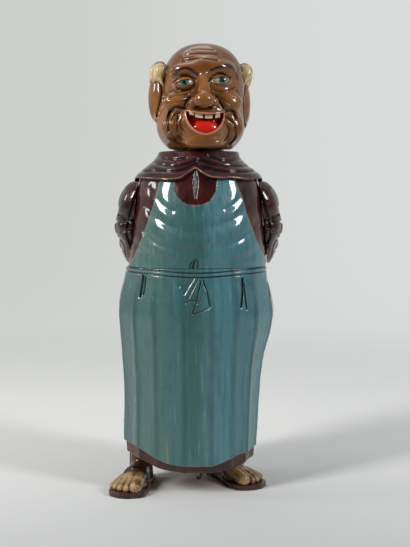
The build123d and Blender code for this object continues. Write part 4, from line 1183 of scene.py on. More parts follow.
    def tooth_row(self, q: Points) -> Values:
        """Distance to the upper teeth."""
        x, y, z = q.T
        top = self.lip_line(x)
        out = np.full(len(q), FAR, np.float32)
        for number, (low, high) in enumerate(self.teeth):
            long = 1.6 if number == 0 else 2.5
            side = np.abs(x - (low + high) / 2) - (high - low) / 2
            tooth = np.maximum(side, np.abs(z - top + long / 2 - 0.3) - long / 2 - 0.3)
            tooth = np.maximum(tooth, (side + top - long - z) * 0.7 + 0.25)
            out = np.minimum(out, np.maximum(tooth, np.abs(y + 29.8) - 2.2) + 0.1)
        return out

    def tongue(self, q: Points) -> Values:
        """Distance to the tongue."""
        return ball(q, (1.4, -26.2, 11.4), (10.4, 5.4, 6.8), (14, 0, 0))

    def ear(self, q: Points, side: int) -> Values:
        """Distance to one long ear with its bowl."""
        cx, cz = (-28.0, 34.0) if side < 0 else (30.6, 30.8)
        shell = ball(q, (cx, 1.5, cz), (4.2, 8.4, 15.4), (0, 0, side * -26))
        bowl = ball(q, (cx + side * 0.9, -6.3, cz + 1.0), (0.9, 3.0, 9.6), (0, 0, side * -26))
        rim = pare(shell, bowl, 0.7)
        lobe = ball(q, (cx - side * 1.2, -1.5, cz - 13.6), (3.0, 4.4, 3.6))
        return merge(rim, lobe, 2.0)

    def hair(self, q: Points) -> Values:
        """Distance to the tufts at the temples and the wreath round the back."""
        x, y, z = q.T
        bearing = np.arctan2(x - 1.4, y)
        comb = 0.34 * np.sin(bearing * 30 + z * 0.34) + 0.2 * np.sin(bearing * 53 - z * 0.5)
        edge = 52.0 - 2.6 * np.cos(bearing * 2.0) + 1.3 * np.sin(bearing * 9.0)
        nape = 19.0 + 2.2 * np.cos(bearing * 5.0) + 0.8 * np.sin(bearing * 23.0)
        wreath = within(self.skull(q) - 2.1, np.maximum(np.maximum(z - edge, nape - z), -1.0 - y), 1.8)
        out = wreath
        for cx, side in ((-26.4, -1), (30.3, 1)):
            tuft = ball(q, (cx, -2.5, 51.0), (5.4, 8.8, 6.5), (0, side * 6, side * -10))
            tuft = merge(tuft, ball(q, (cx + side * 0.8, 5.0, 48.0), (5.0, 9.0, 8.0)), 3.0)
            tip = rod(q, (cx + side * 0.4, -8.0, 48.5), (cx - side * 1.6, -9.6, 42.4), 2.8, 0.9)
            out = merge(out, merge(tuft, tip, 2.0), 1.5)
        return out + comb * np.clip((z - 14) / 6, 0, 1)

    def shape(self, p: Points) -> Values:
        """Distance to the head."""
        q = self.local(p)
        x, y, z = q.T
        form = self.lids(q, self.face(q))
        form += np.where(y < -4, cut_away(x, z, self.folds + self.wrinkles), 0)
        mouth = self.mouth(x, z)
        form -= np.where(y < -22, 0.75 * np.exp(-((mouth - 0.7) / 0.8) ** 2), 0)
        cavity = np.maximum(mouth, y + 27.2 - 0.02 * x * x)
        form = pare(form, cavity, 0.3)
        form = merge(form, within(self.tongue(q), mouth + 0.2, 0.5), 0.1)
        form = merge(form, self.tooth_row(q), 0.1)
        for side in (-1, 1):
            form = pare(form, ball(q, (side * 3.5 - 1.0, -37.6, 25.2), (2.1, 2.2, 1.6)), 0.5)
            form = merge(form, self.ear(q, side), 0.6)
        form += np.where(y < 5, cut_away(x, z, self.ear_creases), 0)
        form = merge(form, self.hair(q), 0.3)
        form = within(form, -z, 0.9)
        form = pare(form, bore(q, 2, (0, 0), 17.4, -1, HEAD_FLOOR - CHIN), 0.2)
        return pare(form, bore(q, 2, (0, 0), 2.5, -1, 32 + HEAD_FLOOR - CHIN))

    def zones(self, p: Points) -> dict[str, Values]:
        """Where the hair, eyes, mouth, teeth and brows are painted."""
        q = self.local(p)
        x, y, z = q.T
        front = y < -20
        plain = self.lids(q, self.face(q))
        eye = np.full(len(q), 9.0, np.float32)
        iris = np.full(len(q), 9.0, np.float32)
        for one in self.eyes:
            eye = np.minimum(eye, one.opening(x, z))
            iris = np.minimum(iris, np.hypot(x - one.gaze[0], z - one.gaze[1]) - one.iris)
        mouth = self.mouth(x, z)
        brow = np.minimum(*[to_stroke(x, z, line, 3.0) for line in self.brows])
        back = np.minimum(1.0, (-27.0 - y) * -0.2)
        return {"hair": np.minimum(plain - self.hair(q), self.ear_gap(q) - 0.3),
                "eye": np.where(front, -eye, -9), "iris": np.where(front, -iris, -9),
                "mouth": np.where(y < -24, -mouth + 0.3, -9), "teeth": 0.35 - self.tooth_row(q),
                "tongue": 0.35 - self.tongue(q), "brow": np.where(front, brow, 9), "back": back,
                "carved": np.where(front, cut_away(x, z, self.folds + self.wrinkles), 0)
                + np.where(y < 5, cut_away(x, z, self.ear_creases), 0) * 0.6,
                "crown": z}

    def ear_gap(self, q: Points) -> Values:
        """How far each point is from the nearer ear."""
        return np.minimum(self.ear(q, -1), self.ear(q, 1))

    def fine_parts(self, p: Points) -> np.ndarray:
        """The eyes, nose, mouth, cheek folds and forehead."""
        q = self.local(p)
        x, y, z = q.T
        return (y < -17) & (np.abs(x) < 25) & (z > 3) & (z < 66) & (y < -12)


# ------------------------------------------------------------------ materials
def colour(red: int, green: int, blue: int) -> tuple[float, float, float, float]:
    """A colour as it is seen, from 0 to 255, made linear."""
    parts = [c / 255 for c in (red, green, blue)]
    lin = [c / 12.92 if c <= 0.04045 else ((c + 0.055) / 1.055) ** 2.4 for c in parts]
    return (lin[0], lin[1], lin[2], 1.0)


class Signal:
    """A number on its way through a material, which can be worked with as in plain arithmetic."""

    def __init__(self, bench: Bench, socket: bpy.types.NodeSocket) -> None:
        """Wraps a socket.

        Args:
            bench: the material's nodes.
            socket: where the number comes out.
        """
        self.bench = bench
        self.socket = socket

    def reckon(self, operation: str, *others: Signal | float, swap: bool = False) -> Signal:
        """Adds one Math node.

        Args:
            operation: what it does.
            others: what it does it with.
            swap: whether this number comes last.

        Returns:
            The result.
        """
        values = [*others, self] if swap else [self, *others]
        node = self.bench.node("ShaderNodeMath", {"operation": operation}, dict(enumerate(values)))
        return Signal(self.bench, node.outputs[0])

    def __add__(self, other: Signal | float) -> Signal:
        """Sum."""
        return self.reckon("ADD", other)

    def __radd__(self, other: float) -> Signal:
        """Sum, from the right."""
        return self.reckon("ADD", other, swap=True)

    def __sub__(self, other: Signal | float) -> Signal:
        """Difference."""
        return self.reckon("SUBTRACT", other)

    def __rsub__(self, other: float) -> Signal:
        """Difference, from the right."""
        return self.reckon("SUBTRACT", other, swap=True)

    def __mul__(self, other: Signal | float) -> Signal:
        """Product."""
        return self.reckon("MULTIPLY", other)

    def __rmul__(self, other: float) -> Signal:
        """Product, from the right."""
        return self.reckon("MULTIPLY", other, swap=True)

    def __truediv__(self, other: Signal | float) -> Signal:
        """Quotient."""
        return self.reckon("DIVIDE", other)

    def __pow__(self, other: float) -> Signal:
        """Power."""
        return self.reckon("POWER", other)

    def __abs__(self) -> Signal:
        """Size without its sign."""
        return self.reckon("ABSOLUTE")

    def most(self, other: Signal | float) -> Signal:
        """The larger of two."""
        return self.reckon("MAXIMUM", other)

    def step(self, start: float, end: float) -> Signal:
        """Rises smoothly from 0 at start to 1 at end."""
        node = self.bench.node("ShaderNodeMapRange", {"interpolation_type": "SMOOTHSTEP"},
                               {"Value": self, "From Min": start, "From Max": end})
        return Signal(self.bench, node.outputs[0])


Tint = tuple[float, float, float, float]


def add_node(tree: bpy.types.NodeTree, kind: str, settings: dict | None,
             inputs: dict | None) -> bpy.types.Node:
    """Adds one node to a tree.

    Args:
        tree: the tree of a material or of a layout.
        kind: the node's type.
        settings: its own settings, or a ramp's stops.
        inputs: values or links of its sockets, by name, identifier or number.

    Returns:
        The node.
    """
    node = tree.nodes.new(kind)
    for key, value in (settings or {}).items():
        if key == "stops":
            ramp = node.color_ramp
            while len(ramp.elements) < len(value):
                ramp.elements.new(0.5)
            for element, (position, tint) in zip(ramp.elements, value):
                element.position, element.color = position, tint
        else:
            setattr(node, key, value)
    for key, value in (inputs or {}).items():
        if isinstance(key, int):
            socket = node.inputs[key]
        else:
            socket = next(s for s in node.inputs if s.enabled and key in (s.identifier, s.name))
        if isinstance(value, Signal):
            value = value.socket
        if isinstance(value, bpy.types.NodeSocket):
            tree.links.new(value, socket)
        else:
            socket.default_value = value
    return node


class Bench:
    """The nodes of one material, with its shader."""

    def __init__(self, name: str) -> None:
        """Starts an empty material.

        Args:
            name: its name.
        """
        self.material = bpy.data.materials.new(name)
        self.material.use_nodes = True
        self.tree = self.material.node_tree
        self.tree.nodes.clear()
        self.shader = self.node("ShaderNodeBsdfPrincipled")
        out = self.node("ShaderNodeOutputMaterial", inputs={"Surface": self.shader.outputs[0]})
        self.material.diffuse_color = (0.5, 0.5, 0.5, 1)
        self.out = out
        self.place = self.node("ShaderNodeTexCoord").outputs["Object"]

    def node(self, kind: str, settings: dict | None = None, inputs: dict | None = None) -> bpy.types.Node:
        """Adds one node to the material."""
        return add_node(self.tree, kind, settings, inputs)

    def measure(self, name: str) -> Signal:
        """A measure kept on the mesh."""
        return Signal(self, self.node("ShaderNodeAttribute", {"attribute_name": name}).outputs["Fac"])

    def stretched(self, scale: Trio) -> bpy.types.NodeSocket:
        """Places on the object, stretched differently along each axis."""
        return self.node("ShaderNodeMapping", None, {"Vector": self.place, "Scale": scale}).outputs[0]

    def noise(self, scale: Trio, detail: float = 3.0, rough: float = 0.55, bend: float = 0.0) -> Signal:
        """Cloudy variation, from about 0.25 to 0.75.

        Args:
            scale: how many clouds there are in a metre along each axis.
            detail: how many finer layers it has.
            rough: how strong those are.
            bend: how much it is warped.

        Returns:
            The variation.
        """
        node = self.node("ShaderNodeTexNoise", None, {
            "Vector": self.stretched(scale), "Scale": 1.0, "Detail": detail, "Roughness": rough,
            "Distortion": bend})
        return Signal(self, node.outputs["Fac"])

    def axis(self, name: str) -> Signal:
        """One coordinate of the place on the object, in millimetres."""
        return Signal(self, self.node("ShaderNodeSeparateXYZ", None, {0: self.place}).outputs[name]) * 1000.0

    def mix(self, under: Tint | bpy.types.NodeSocket, over: Tint | bpy.types.NodeSocket,
            amount: Signal | float) -> bpy.types.NodeSocket:
        """Lays one colour over another.

        Args:
            under: the colour below.
            over: the colour above.
            amount: how much of the upper one shows.

        Returns:
            The combined colour.
        """
        node = self.node("ShaderNodeMix", {"data_type": "RGBA", "clamp_factor": True},
                         {"Factor_Float": amount, "A_Color": under, "B_Color": over})
        return node.outputs["Result"] if node.outputs["Result"].type == "RGBA" else node.outputs[2]

    def ramp(self, amount: Signal, stops: Sequence[tuple[float, Tint]]) -> bpy.types.NodeSocket:
        """Reads a colour from a row of colours."""
        return self.node("ShaderNodeValToRGB", {"stops": stops}, {0: amount}).outputs[0]

    def finish(self, tint: Tint | bpy.types.NodeSocket, rough: Signal | float,
               height: Signal | None = None, lift: float = 0.0001, **fixed: float) -> bpy.types.Material:
        """Dresses the shader.

        Args:
            tint: base colour.
            rough: roughness.
            height: surface height from 0 to 1.
            lift: how far that height stands, in metres.
            fixed: other sockets of the shader, by name with _ for a space.

        Returns:
            The material.
        """
        inputs: dict = {"Base Color": tint, "Roughness": rough}
        inputs |= {key.replace("_", " "): value for key, value in fixed.items()}
        if height is not None:
            bump = self.node("ShaderNodeBump", None, {"Height": height, "Distance": lift, "Strength": 1.0})
            inputs["Normal"] = bump.outputs[0]
        for key, value in inputs.items():
            socket = self.shader.inputs[key]
            if isinstance(value, Signal):
                value = value.socket
            if isinstance(value, bpy.types.NodeSocket):
                self.tree.links.new(value, socket)
            else:
                socket.default_value = value
        return self.material


@dataclass(frozen=True)
class HabitPaint:
    """Old gloss paint and varnish on carved limewood: oxblood cloth under a blue-green apron."""

    oxblood: Tint = colour(62, 22, 18)
    # The darkest oxblood, also laid as painted shade in the hollows and cuts.
    deep: Tint = colour(15, 5, 5)
    worn: Tint = colour(150, 104, 74)
    # The apron's greens from its left side to its right: partly its paint's own tones, partly painted light
    # and shade of its facets.
    greens: tuple[tuple[float, Tint], ...] = (
        (0.0, colour(44, 72, 78)), (0.10, colour(60, 92, 92)), (0.18, colour(76, 108, 102)),
        (0.30, colour(72, 106, 100)), (0.37, colour(60, 98, 100)), (0.50, colour(52, 90, 90)),
        (0.60, colour(72, 116, 124)), (0.74, colour(70, 114, 122)), (0.88, colour(80, 124, 130)),
        (1.0, colour(70, 110, 112)))

    def build(self, with_apron: bool) -> bpy.types.Material:
        """Makes the material.

        Args:
            with_apron: whether the piece carries part of the apron.

        Returns:
            The material.
        """
        b = Bench("oxblood_and_apron_paint" if with_apron else "oxblood_paint")
        streak = b.noise((420, 420, 26), 4.0, 0.6)
        fine = b.noise((1500, 1500, 60), 3.0, 0.6)
        cloud = b.noise((60, 60, 34), 4.0, 0.55, 0.4)
        chip = b.noise((150, 150, 95), 2.0, 0.5, 0.3)
        hollow = b.measure("hollow").step(0.10, 0.65)
        edge = b.measure("edge")
        carved = b.measure("carved").step(0.2, 0.9)
        habit = b.mix(self.oxblood, self.deep, cloud.step(0.40, 0.62) * 0.65)
        habit = b.mix(habit, colour(96, 40, 33), streak.step(0.56, 0.74) * 0.4)
        tint = habit
        rough = 0.22 + 0.18 * cloud
        if with_apron:
            # Painted light and shade over the paint's own tones: the apron's green runs across the figure from
            # left to right to match its lit and shaded facets.
            span = (b.axis("X") + 58.0 + (cloud - 0.5) * 14.0 + (streak - 0.5) * 10.0) / 116.0
            apron = b.ramp(span, self.greens)
            apron = b.mix(apron, colour(112, 150, 140), streak.step(0.56, 0.72) * 0.30)
            apron = b.mix(apron, colour(26, 56, 60), (1 - streak).step(0.52, 0.68) * 0.28)
            apron = b.mix(apron, colour(34, 66, 70), (1 - b.measure("ridge").step(1.2, 4.0)) * 0.35)
            apron = b.mix(apron, colour(122, 100, 66), fine.step(0.60, 0.70) * cloud.step(0.48, 0.62) * 0.6)
            apron = b.mix(apron, colour(30, 58, 62), cloud.step(0.52, 0.72) * 0.3)
            bare = b.noise((230, 230, 8), 2.0).step(0.66, 0.72) * (1 - b.axis("Z").step(22.0, 52.0))
            apron = b.mix(apron, colour(140, 108, 70), bare * 0.7)
            mask = b.measure("apron").step(-0.22, 0.22)
            tint = b.mix(habit, apron, mask)
            rough = rough + mask * 0.06
            lip = b.measure("apron")
            rub = (lip.step(-0.9, 0.1) - lip.step(0.1, 1.0)).most(0.0)
            tint = b.mix(tint, self.worn, rub * streak.step(0.44, 0.60) * 0.5)
        wear = (edge + (fine - 0.5) * 0.5 + (cloud - 0.5) * 0.9).step(0.46, 0.72)
        wear = wear * (1 - b.measure("carved").step(0.02, 0.10) * 0.85)
        if with_apron:
            wear = wear * b.measure("seam").step(0.8, 2.0)
            line = b.measure("string")
            shade = (line.step(0.7, 1.2) - line.step(1.5, 2.2)).most(0.0)
            tint = b.mix(tint, colour(24, 48, 50), shade * 0.8)
        tint = b.mix(tint, self.worn, wear * 0.7)
        # Painted shade: darker in the hollows and down in the carved cuts.
        tint = b.mix(tint, self.deep, (hollow * 0.6).most(carved * 0.92))
        if with_apron:
            tint = b.mix(tint, colour(166, 126, 84), b.measure("inner").step(2.0, 2.6))
        height = streak * 0.18 + fine * 0.08 + chip * 0.85 + cloud * 0.4
        return b.finish(tint, rough, height, 0.0011, Coat_Weight=0.85, Coat_Roughness=0.07,
                        Specular_IOR_Level=0.15)


@dataclass(frozen=True)
class StainedFace:
    """Warm brown stain and gloss varnish on the head, with painted hair, eyes and mouth."""

    skin: Tint = colour(124, 75, 32)
    # The darkest stain, also laid as painted shade in the hollows and cuts.
    dark: Tint = colour(50, 25, 10)
    light: Tint = colour(160, 108, 58)

    def build(self) -> bpy.types.Material:
        """Makes the material."""
        b = Bench("stained_face")
        grain = b.noise((170, 170, 900), 4.0, 0.6, 0.3)
        cloud = b.noise((70, 70, 60), 4.0, 0.55)
        fine = b.noise((1800, 1800, 1800), 2.0, 0.6)
        hollow = b.measure("hollow").step(0.10, 0.8)
        edge = b.measure("edge").step(0.12, 0.55)
        carved = b.measure("carved").step(0.12, 0.9)
        tint = b.mix(self.skin, self.dark, cloud.step(0.44, 0.72) * 0.36)
        tint = b.mix(tint, self.light, (1 - cloud).step(0.46, 0.70) * 0.40)
        tint = b.mix(tint, self.dark, grain.step(0.56, 0.74) * 0.25)
        tint = b.mix(tint, self.light, edge * 0.45)
        # Painted shade: darker in the hollows and down in the carved folds and wrinkles.
        tint = b.mix(tint, self.dark, (hollow * 0.55).most(carved * 0.75))
        hair = b.measure("hair").step(0.1, 0.5)
        strands = b.noise((900, 900, 160), 4.0, 0.6, 0.5)
        tint = b.mix(tint, colour(82, 42, 12), b.axis("Z").step(264.0, 282.0) * 0.5)
        hair_tint = b.mix(colour(206, 182, 136), colour(112, 84, 50), strands.step(0.46, 0.64) * 0.65)
        # Painted shade in the hollows between the hair's strands.
        hair_tint = b.mix(hair_tint, colour(58, 38, 20), hollow * 0.6)
        # Painted shade: darker along the top edge of the tufts.
        hair_tint = b.mix(hair_tint, colour(74, 58, 30), b.measure("crown").step(54.0, 57.5) * 0.8)
        tint = b.mix(tint, hair_tint, hair)
        brow = 1 - (b.measure("brow") + (grain - 0.5) * 0.8).step(0.6, 1.25)
        tint = b.mix(tint, colour(34, 17, 10), brow * 0.9)
        eye = b.measure("eye")
        tint = b.mix(tint, colour(52, 24, 12), eye.step(-0.75, -0.35) * 0.8)
        tint = b.mix(tint, colour(160, 138, 110), eye.step(-0.15, 0.15))
        iris = b.measure("iris")
        star = b.noise((700, 700, 700), 2.0, 0.5)
        looking = iris.step(-0.2, 0.15) * eye.step(-0.2, 0.1)
        tint = b.mix(tint, b.mix(colour(62, 122, 112), colour(16, 44, 48), star.step(0.44, 0.60)), looking)
        tint = b.mix(tint, colour(10, 24, 28), iris.step(1.0, 1.5) * eye.step(-0.2, 0.1))
        mouth = b.measure("mouth")
        tint = b.mix(tint, colour(204, 146, 118), mouth.step(-1.3, -0.9) * 0.6)
        # Painted shade: the mouth's red darkens towards the back of its cavity.
        red = b.mix(colour(168, 22, 16), colour(92, 8, 8), b.measure("back").step(0.2, 0.9))
        tint = b.mix(tint, red, mouth.step(-0.15, 0.15))
        tint = b.mix(tint, colour(190, 30, 20), b.measure("tongue").step(0.0, 0.3))
        tint = b.mix(tint, colour(214, 190, 160), b.measure("teeth").step(0.0, 0.3))
        rough = 0.24 + 0.18 * cloud + 0.25 * hair
        return b.finish(tint, rough, cloud * 0.7 + fine * 0.15 + grain * 0.15, 0.0002,
                        Coat_Weight=0.9, Coat_Roughness=0.06, Specular_IOR_Level=0.15)


@dataclass(frozen=True)
class FootPaint:
    """Bare feet in stained wood with cream toes, in dark sandals."""

    def build(self) -> bpy.types.Material:
        """Makes the material."""
        b = Bench("foot_paint")
        cloud = b.noise((120, 120, 120), 4.0, 0.55)
        fine = b.noise((1500, 1500, 1500), 2.0, 0.6)
        hollow = b.measure("hollow").step(0.15, 0.8)
        edge = b.measure("edge").step(0.15, 0.6)
        tint = b.mix(colour(74, 42, 20), colour(30, 14, 7), cloud.step(0.42, 0.66) * 0.8)
        toes = b.measure("toes").step(-0.5, 2.5) * b.measure("up").step(3.2, 4.6)
        toe_tint = b.mix(colour(160, 128, 86), colour(96, 66, 38), cloud.step(0.42, 0.66))
        tint = b.mix(tint, toe_tint, toes)
        # Painted highlight: paler on the toes' rounded edges.
        tint = b.mix(tint, colour(176, 146, 102), edge * toes * 0.6)
        # Painted shade: darker in the grooves between the toes and in other hollows.
        tint = b.mix(tint, colour(22, 10, 6), hollow * 0.95)
        tint = b.mix(tint, colour(24, 12, 9), b.measure("strap").step(-0.1, 0.15))
        tint = b.mix(tint, colour(210, 186, 150), b.measure("nail").step(0.0, 0.3))
        sole = b.mix(colour(66, 34, 29), colour(30, 12, 10), cloud.step(0.4, 0.7))
        tint = b.mix(tint, sole, b.measure("sole").step(-0.15, 0.15))
        return b.finish(tint, 0.25 + 0.2 * cloud, cloud * 0.6 + fine * 0.3, 0.0002,
                        Coat_Weight=0.7, Coat_Roughness=0.09, Specular_IOR_Level=0.15)


@dataclass(frozen=True)
class Metal:
    """Turned or drawn metal, dulled by handling.

    Attributes:
        name: the material's name.
        bright: its colour where it is rubbed.
        dull: its colour where it has tarnished.
        lines: fine tool lines in a metre, along each axis.
    """

    name: str
    bright: Tint
    dull: Tint
    lines: Trio

    def build(self) -> bpy.types.Material:
        """Makes the material."""
        b = Bench(self.name)
        tooling = b.noise(self.lines, 3.0, 0.6)
        spots = b.noise((260, 260, 260), 4.0, 0.6)
        tint = b.mix(self.bright, self.dull, spots.step(0.40, 0.68) * 0.7)
        tint = b.mix(tint, self.dull, tooling.step(0.55, 0.75) * 0.4)
        return b.finish(tint, 0.26 + 0.22 * spots + 0.12 * tooling, tooling * 0.6 + spots * 0.4, 0.00004,
                        Metallic=1.0)


@dataclass(frozen=True)
class PlainWood:
    """Wood with its grain and pores, bare or under stain.

    Attributes:
        name: the material's name.
        pale: colour between the grain lines.
        dark: colour of the grain lines and pores.
        grain: grain lines in a metre, along each axis.
        gloss: roughness where it is smoothest.
        varnish: how much of a coat it has.
    """

    name: str
    pale: Tint
    dark: Tint
    grain: Trio
    gloss: float = 0.5
    varnish: float = 0.0

    def build(self) -> bpy.types.Material:
        """Makes the material."""
        b = Bench(self.name)
        grain = b.noise(self.grain, 5.0, 0.62, 0.6)
        pores = b.noise((self.grain[0] * 3, self.grain[1] * 3, self.grain[2] * 3), 2.0, 0.7)
        cloud = b.noise((40, 40, 40), 3.0)
        tint = b.mix(self.pale, self.dark, grain.step(0.42, 0.66) * 0.65)
        tint = b.mix(tint, self.dark, pores.step(0.58, 0.72) * 0.5)
        tint = b.mix(tint, self.dark, cloud.step(0.45, 0.7) * 0.35)
        return b.finish(tint, self.gloss + 0.2 * grain, grain * 0.5 + pores * 0.5, 0.00009,
                        Coat_Weight=self.varnish, Coat_Roughness=0.12)


@dataclass(frozen=True)
class PressedFelt:
    """Dark wool felt, with matted fibres."""

    def build(self) -> bpy.types.Material:
        """Makes the material."""
        b = Bench("pressed_felt")
        fibres = b.noise((3000, 3000, 1200), 5.0, 0.7, 1.5)
        clumps = b.noise((500, 500, 500), 3.0, 0.6)
        tint = b.mix(colour(44, 42, 44), colour(78, 74, 74), fibres.step(0.5, 0.68))
        tint = b.mix(tint, colour(24, 22, 24), clumps.step(0.5, 0.7) * 0.6)
        return b.finish(tint, 0.92 + 0.06 * clumps, fibres * 0.6 + clumps * 0.4, 0.0003)


# ------------------------------------------------------------------ turned disc, crank and knob
@dataclass
class NeckDisc(Carving):
    """The dark disc turned to sit between the collar and the head."""

    def shape(self, p: Points) -> Values:
        """Distance to the disc, with softened rims and a bead on its edge."""
        side = np.hypot(p[:, 0], p[:, 1])
        level = np.abs(p[:, 2] - 226.9)
        form = within(side - 16.95 + 0.12 * level ** 2, level - 1.08, 0.5)
        return pare(form, side - 2.6, 0.2)

    def zones(self, p: Points) -> dict[str, Values]:
        """The disc has no cuts."""
        return {"carved": np.zeros(len(p))}


@dataclass
class CrankArm(Carving):
    """The crank's arm: a tapering bar with its edges pared by knife.

    Attributes:
        near: its near face behind the spindle.
        far: its far face.
        tip: height of the knob's pin.
        hub_radius: radius of its upper end.
        tip_radius: radius of its lower end.
    """

    near: float = 39.4
    far: float = 45.4
    tip: float = 48.0
    hub_radius: float = 8.0
    tip_radius: float = 5.5

    def shape(self, p: Points) -> Values:
        """Distance to the arm, waisted between its two ends, with both of its bores."""
        x, y, z = p.T
        t = np.clip((SHAFT_HEIGHT - z) / (SHAFT_HEIGHT - self.tip), 0, 1)
        width = self.hub_radius + (self.tip_radius - self.hub_radius) * t - 0.55 * np.sin(math.pi * t)
        beyond = np.where(z > SHAFT_HEIGHT, z - SHAFT_HEIGHT, np.minimum(z - self.tip, 0))
        side = np.hypot(x, beyond) - width
        middle = (self.near + self.far) / 2
        half = (self.far - self.near) / 2
        chips = 0.10 * np.cos(z * 1.7) * np.cos(x * 0.6 + 1.0)
        form = within(side + np.maximum(chips, 0), np.abs(y - middle) - half, 1.5)
        form = pare(form, bore(p, 1, (0, SHAFT_HEIGHT), 2.05, 30, 60), 0.2)
        return pare(form, bore(p, 1, (0, self.tip), 1.55, 30, 60), 0.2)

    def zones(self, p: Points) -> dict[str, Values]:
        """The arm has no cuts of its own."""
        return {"carved": np.zeros(len(p))}


@dataclass
class CrankKnob(Carving):
    """The turned knob: waisted next to the arm, full in the middle, with two turned lines."""

    start: float = 45.7
    length: float = 18.0
    height: float = 48.0

    def shape(self, p: Points) -> Values:
        """Distance to the knob and its bore."""
        side = np.hypot(p[:, 0], p[:, 2] - self.height)
        along = (p[:, 1] - self.start) / self.length
        reach = blend_curve((0.0, 0.16, 0.46, 0.74, 0.95, 1.0), (4.62, 3.8, 5.58, 6.46, 5.05, 3.6), along)
        for line in (0.30, 0.36):
            reach = reach - 0.32 * np.exp(-((along - line) / 0.012) ** 2)
        form = within((side - reach) * 0.9, np.abs(along - 0.5) * self.length - self.length / 2, 0.5)
        return pare(form, side - 1.65, 0.2)

    def zones(self, p: Points) -> dict[str, Values]:
        """The knob has no cuts of its own."""
        return {"carved": np.zeros(len(p))}


@dataclass(frozen=True)
class TurnedPaint:
    """Stain and shellac on the turned and pared wood, rubbed paler where fingers hold it.

    Attributes:
        name: the material's name.
        base: its colour.
        dark: its colour in the grain, and its painted shade in the hollows.
        rubbed: its colour on the edges.
        grain: grain lines in a metre, along each axis.
    """

    name: str
    base: Tint
    dark: Tint
    rubbed: Tint
    grain: Trio

    def build(self) -> bpy.types.Material:
        """Makes the material."""
        b = Bench(self.name)
        grain = b.noise(self.grain, 5.0, 0.62, 0.5)
        cloud = b.noise((90, 90, 90), 3.0)
        tint = b.mix(self.base, self.dark, grain.step(0.44, 0.66) * 0.7)
        wear = (b.measure("edge") + (cloud - 0.5) * 0.5).step(0.2, 0.55)
        tint = b.mix(tint, self.rubbed, wear * 0.7)
        # Painted shade: darker in the hollows.
        tint = b.mix(tint, self.dark, b.measure("hollow").step(0.15, 0.7) * 0.7)
        return b.finish(tint, 0.24 + 0.22 * grain, grain * 0.6 + cloud * 0.4, 0.00012,
                        Coat_Weight=0.5, Coat_Roughness=0.1)


# ------------------------------------------------------------------ what repeats: pegs, staves and screws
class Layout:
    """A Geometry Nodes tree that lays out copies of one small piece."""

    def __init__(self, name: str, sizes: dict[str, float | int | Trio]) -> None:
        """Starts a tree with named inputs.

        Args:
            name: the tree's name.
            sizes: its inputs and their values, in metres, degrees and counts.
        """
        self.name = name
        self.sizes = sizes
        self.tree = bpy.data.node_groups.new(name, "GeometryNodeTree")
        for label, value in sizes.items():
            kind = ("NodeSocketVector" if isinstance(value, tuple) else
                    "NodeSocketInt" if isinstance(value, int) else "NodeSocketFloat")
            self.tree.interface.new_socket(label, in_out="INPUT", socket_type=kind)
        self.tree.interface.new_socket("Geometry", in_out="OUTPUT", socket_type="NodeSocketGeometry")
        self.start = self.node("NodeGroupInput")

    def node(self, kind: str, settings: dict | None = None, inputs: dict | None = None) -> bpy.types.Node:
        """Adds one node; an input that is a text takes the tree's input of that name."""
        return add_node(self.tree, kind, settings, {
            key: self.start.outputs[value] if isinstance(value, str) and value in self.sizes else value
            for key, value in (inputs or {}).items()})

    def rounded_rod(self) -> bpy.types.NodeSocket:
        """A rod of the tree's Radius and Length along Z, with flat ends."""
        shank = self.node("GeometryNodeMeshCylinder", {"fill_type": "NGON"}, {
            "Vertices": 24, "Radius": "Radius", "Depth": "Length"})
        return shank.outputs["Mesh"]

    def ring(self, piece: bpy.types.NodeSocket) -> bpy.types.NodeSocket:
        """Copies of a piece round a circle of the tree's Ring radius."""
        circle = self.node("GeometryNodeMeshCircle", None, {"Vertices": "Count", "Radius": "Ring"})
        return self.node("GeometryNodeInstanceOnPoints", None, {
            "Points": circle.outputs[0], "Instance": piece}).outputs[0]

    def bake(self, copies: bpy.types.NodeSocket, paint: bpy.types.Material) -> bpy.types.Object:
        """Turns and places the copies, and makes one plain mesh of them.

        Args:
            copies: the laid out copies.
            paint: their material.

        Returns:
            The new object, without its modifier.
        """
        moved = self.node("GeometryNodeTransform", None, {
            "Geometry": copies, "Translation": "Place", "Rotation": "Turn"})
        real = self.node("GeometryNodeRealizeInstances", None, {"Geometry": moved.outputs[0]})
        dressed = self.node("GeometryNodeSetMaterial", None, {"Geometry": real.outputs[0], "Material": paint})
        self.node("NodeGroupOutput", None, {0: dressed.outputs[0]})
        holder = bpy.data.objects.new(self.name, bpy.data.meshes.new(self.name))
        bpy.context.scene.collection.objects.link(holder)
        modifier = holder.modifiers.new("layout", "NODES")
        modifier.node_group = self.tree
        for item in self.tree.interface.items_tree:
            if item.in_out == "INPUT":
                modifier[item.identifier] = self.sizes[item.name]
        shown = holder.evaluated_get(bpy.context.evaluated_depsgraph_get())
        mesh = bpy.data.meshes.new_from_object(shown)
        holder.modifiers.clear()
        holder.data = mesh
        return holder


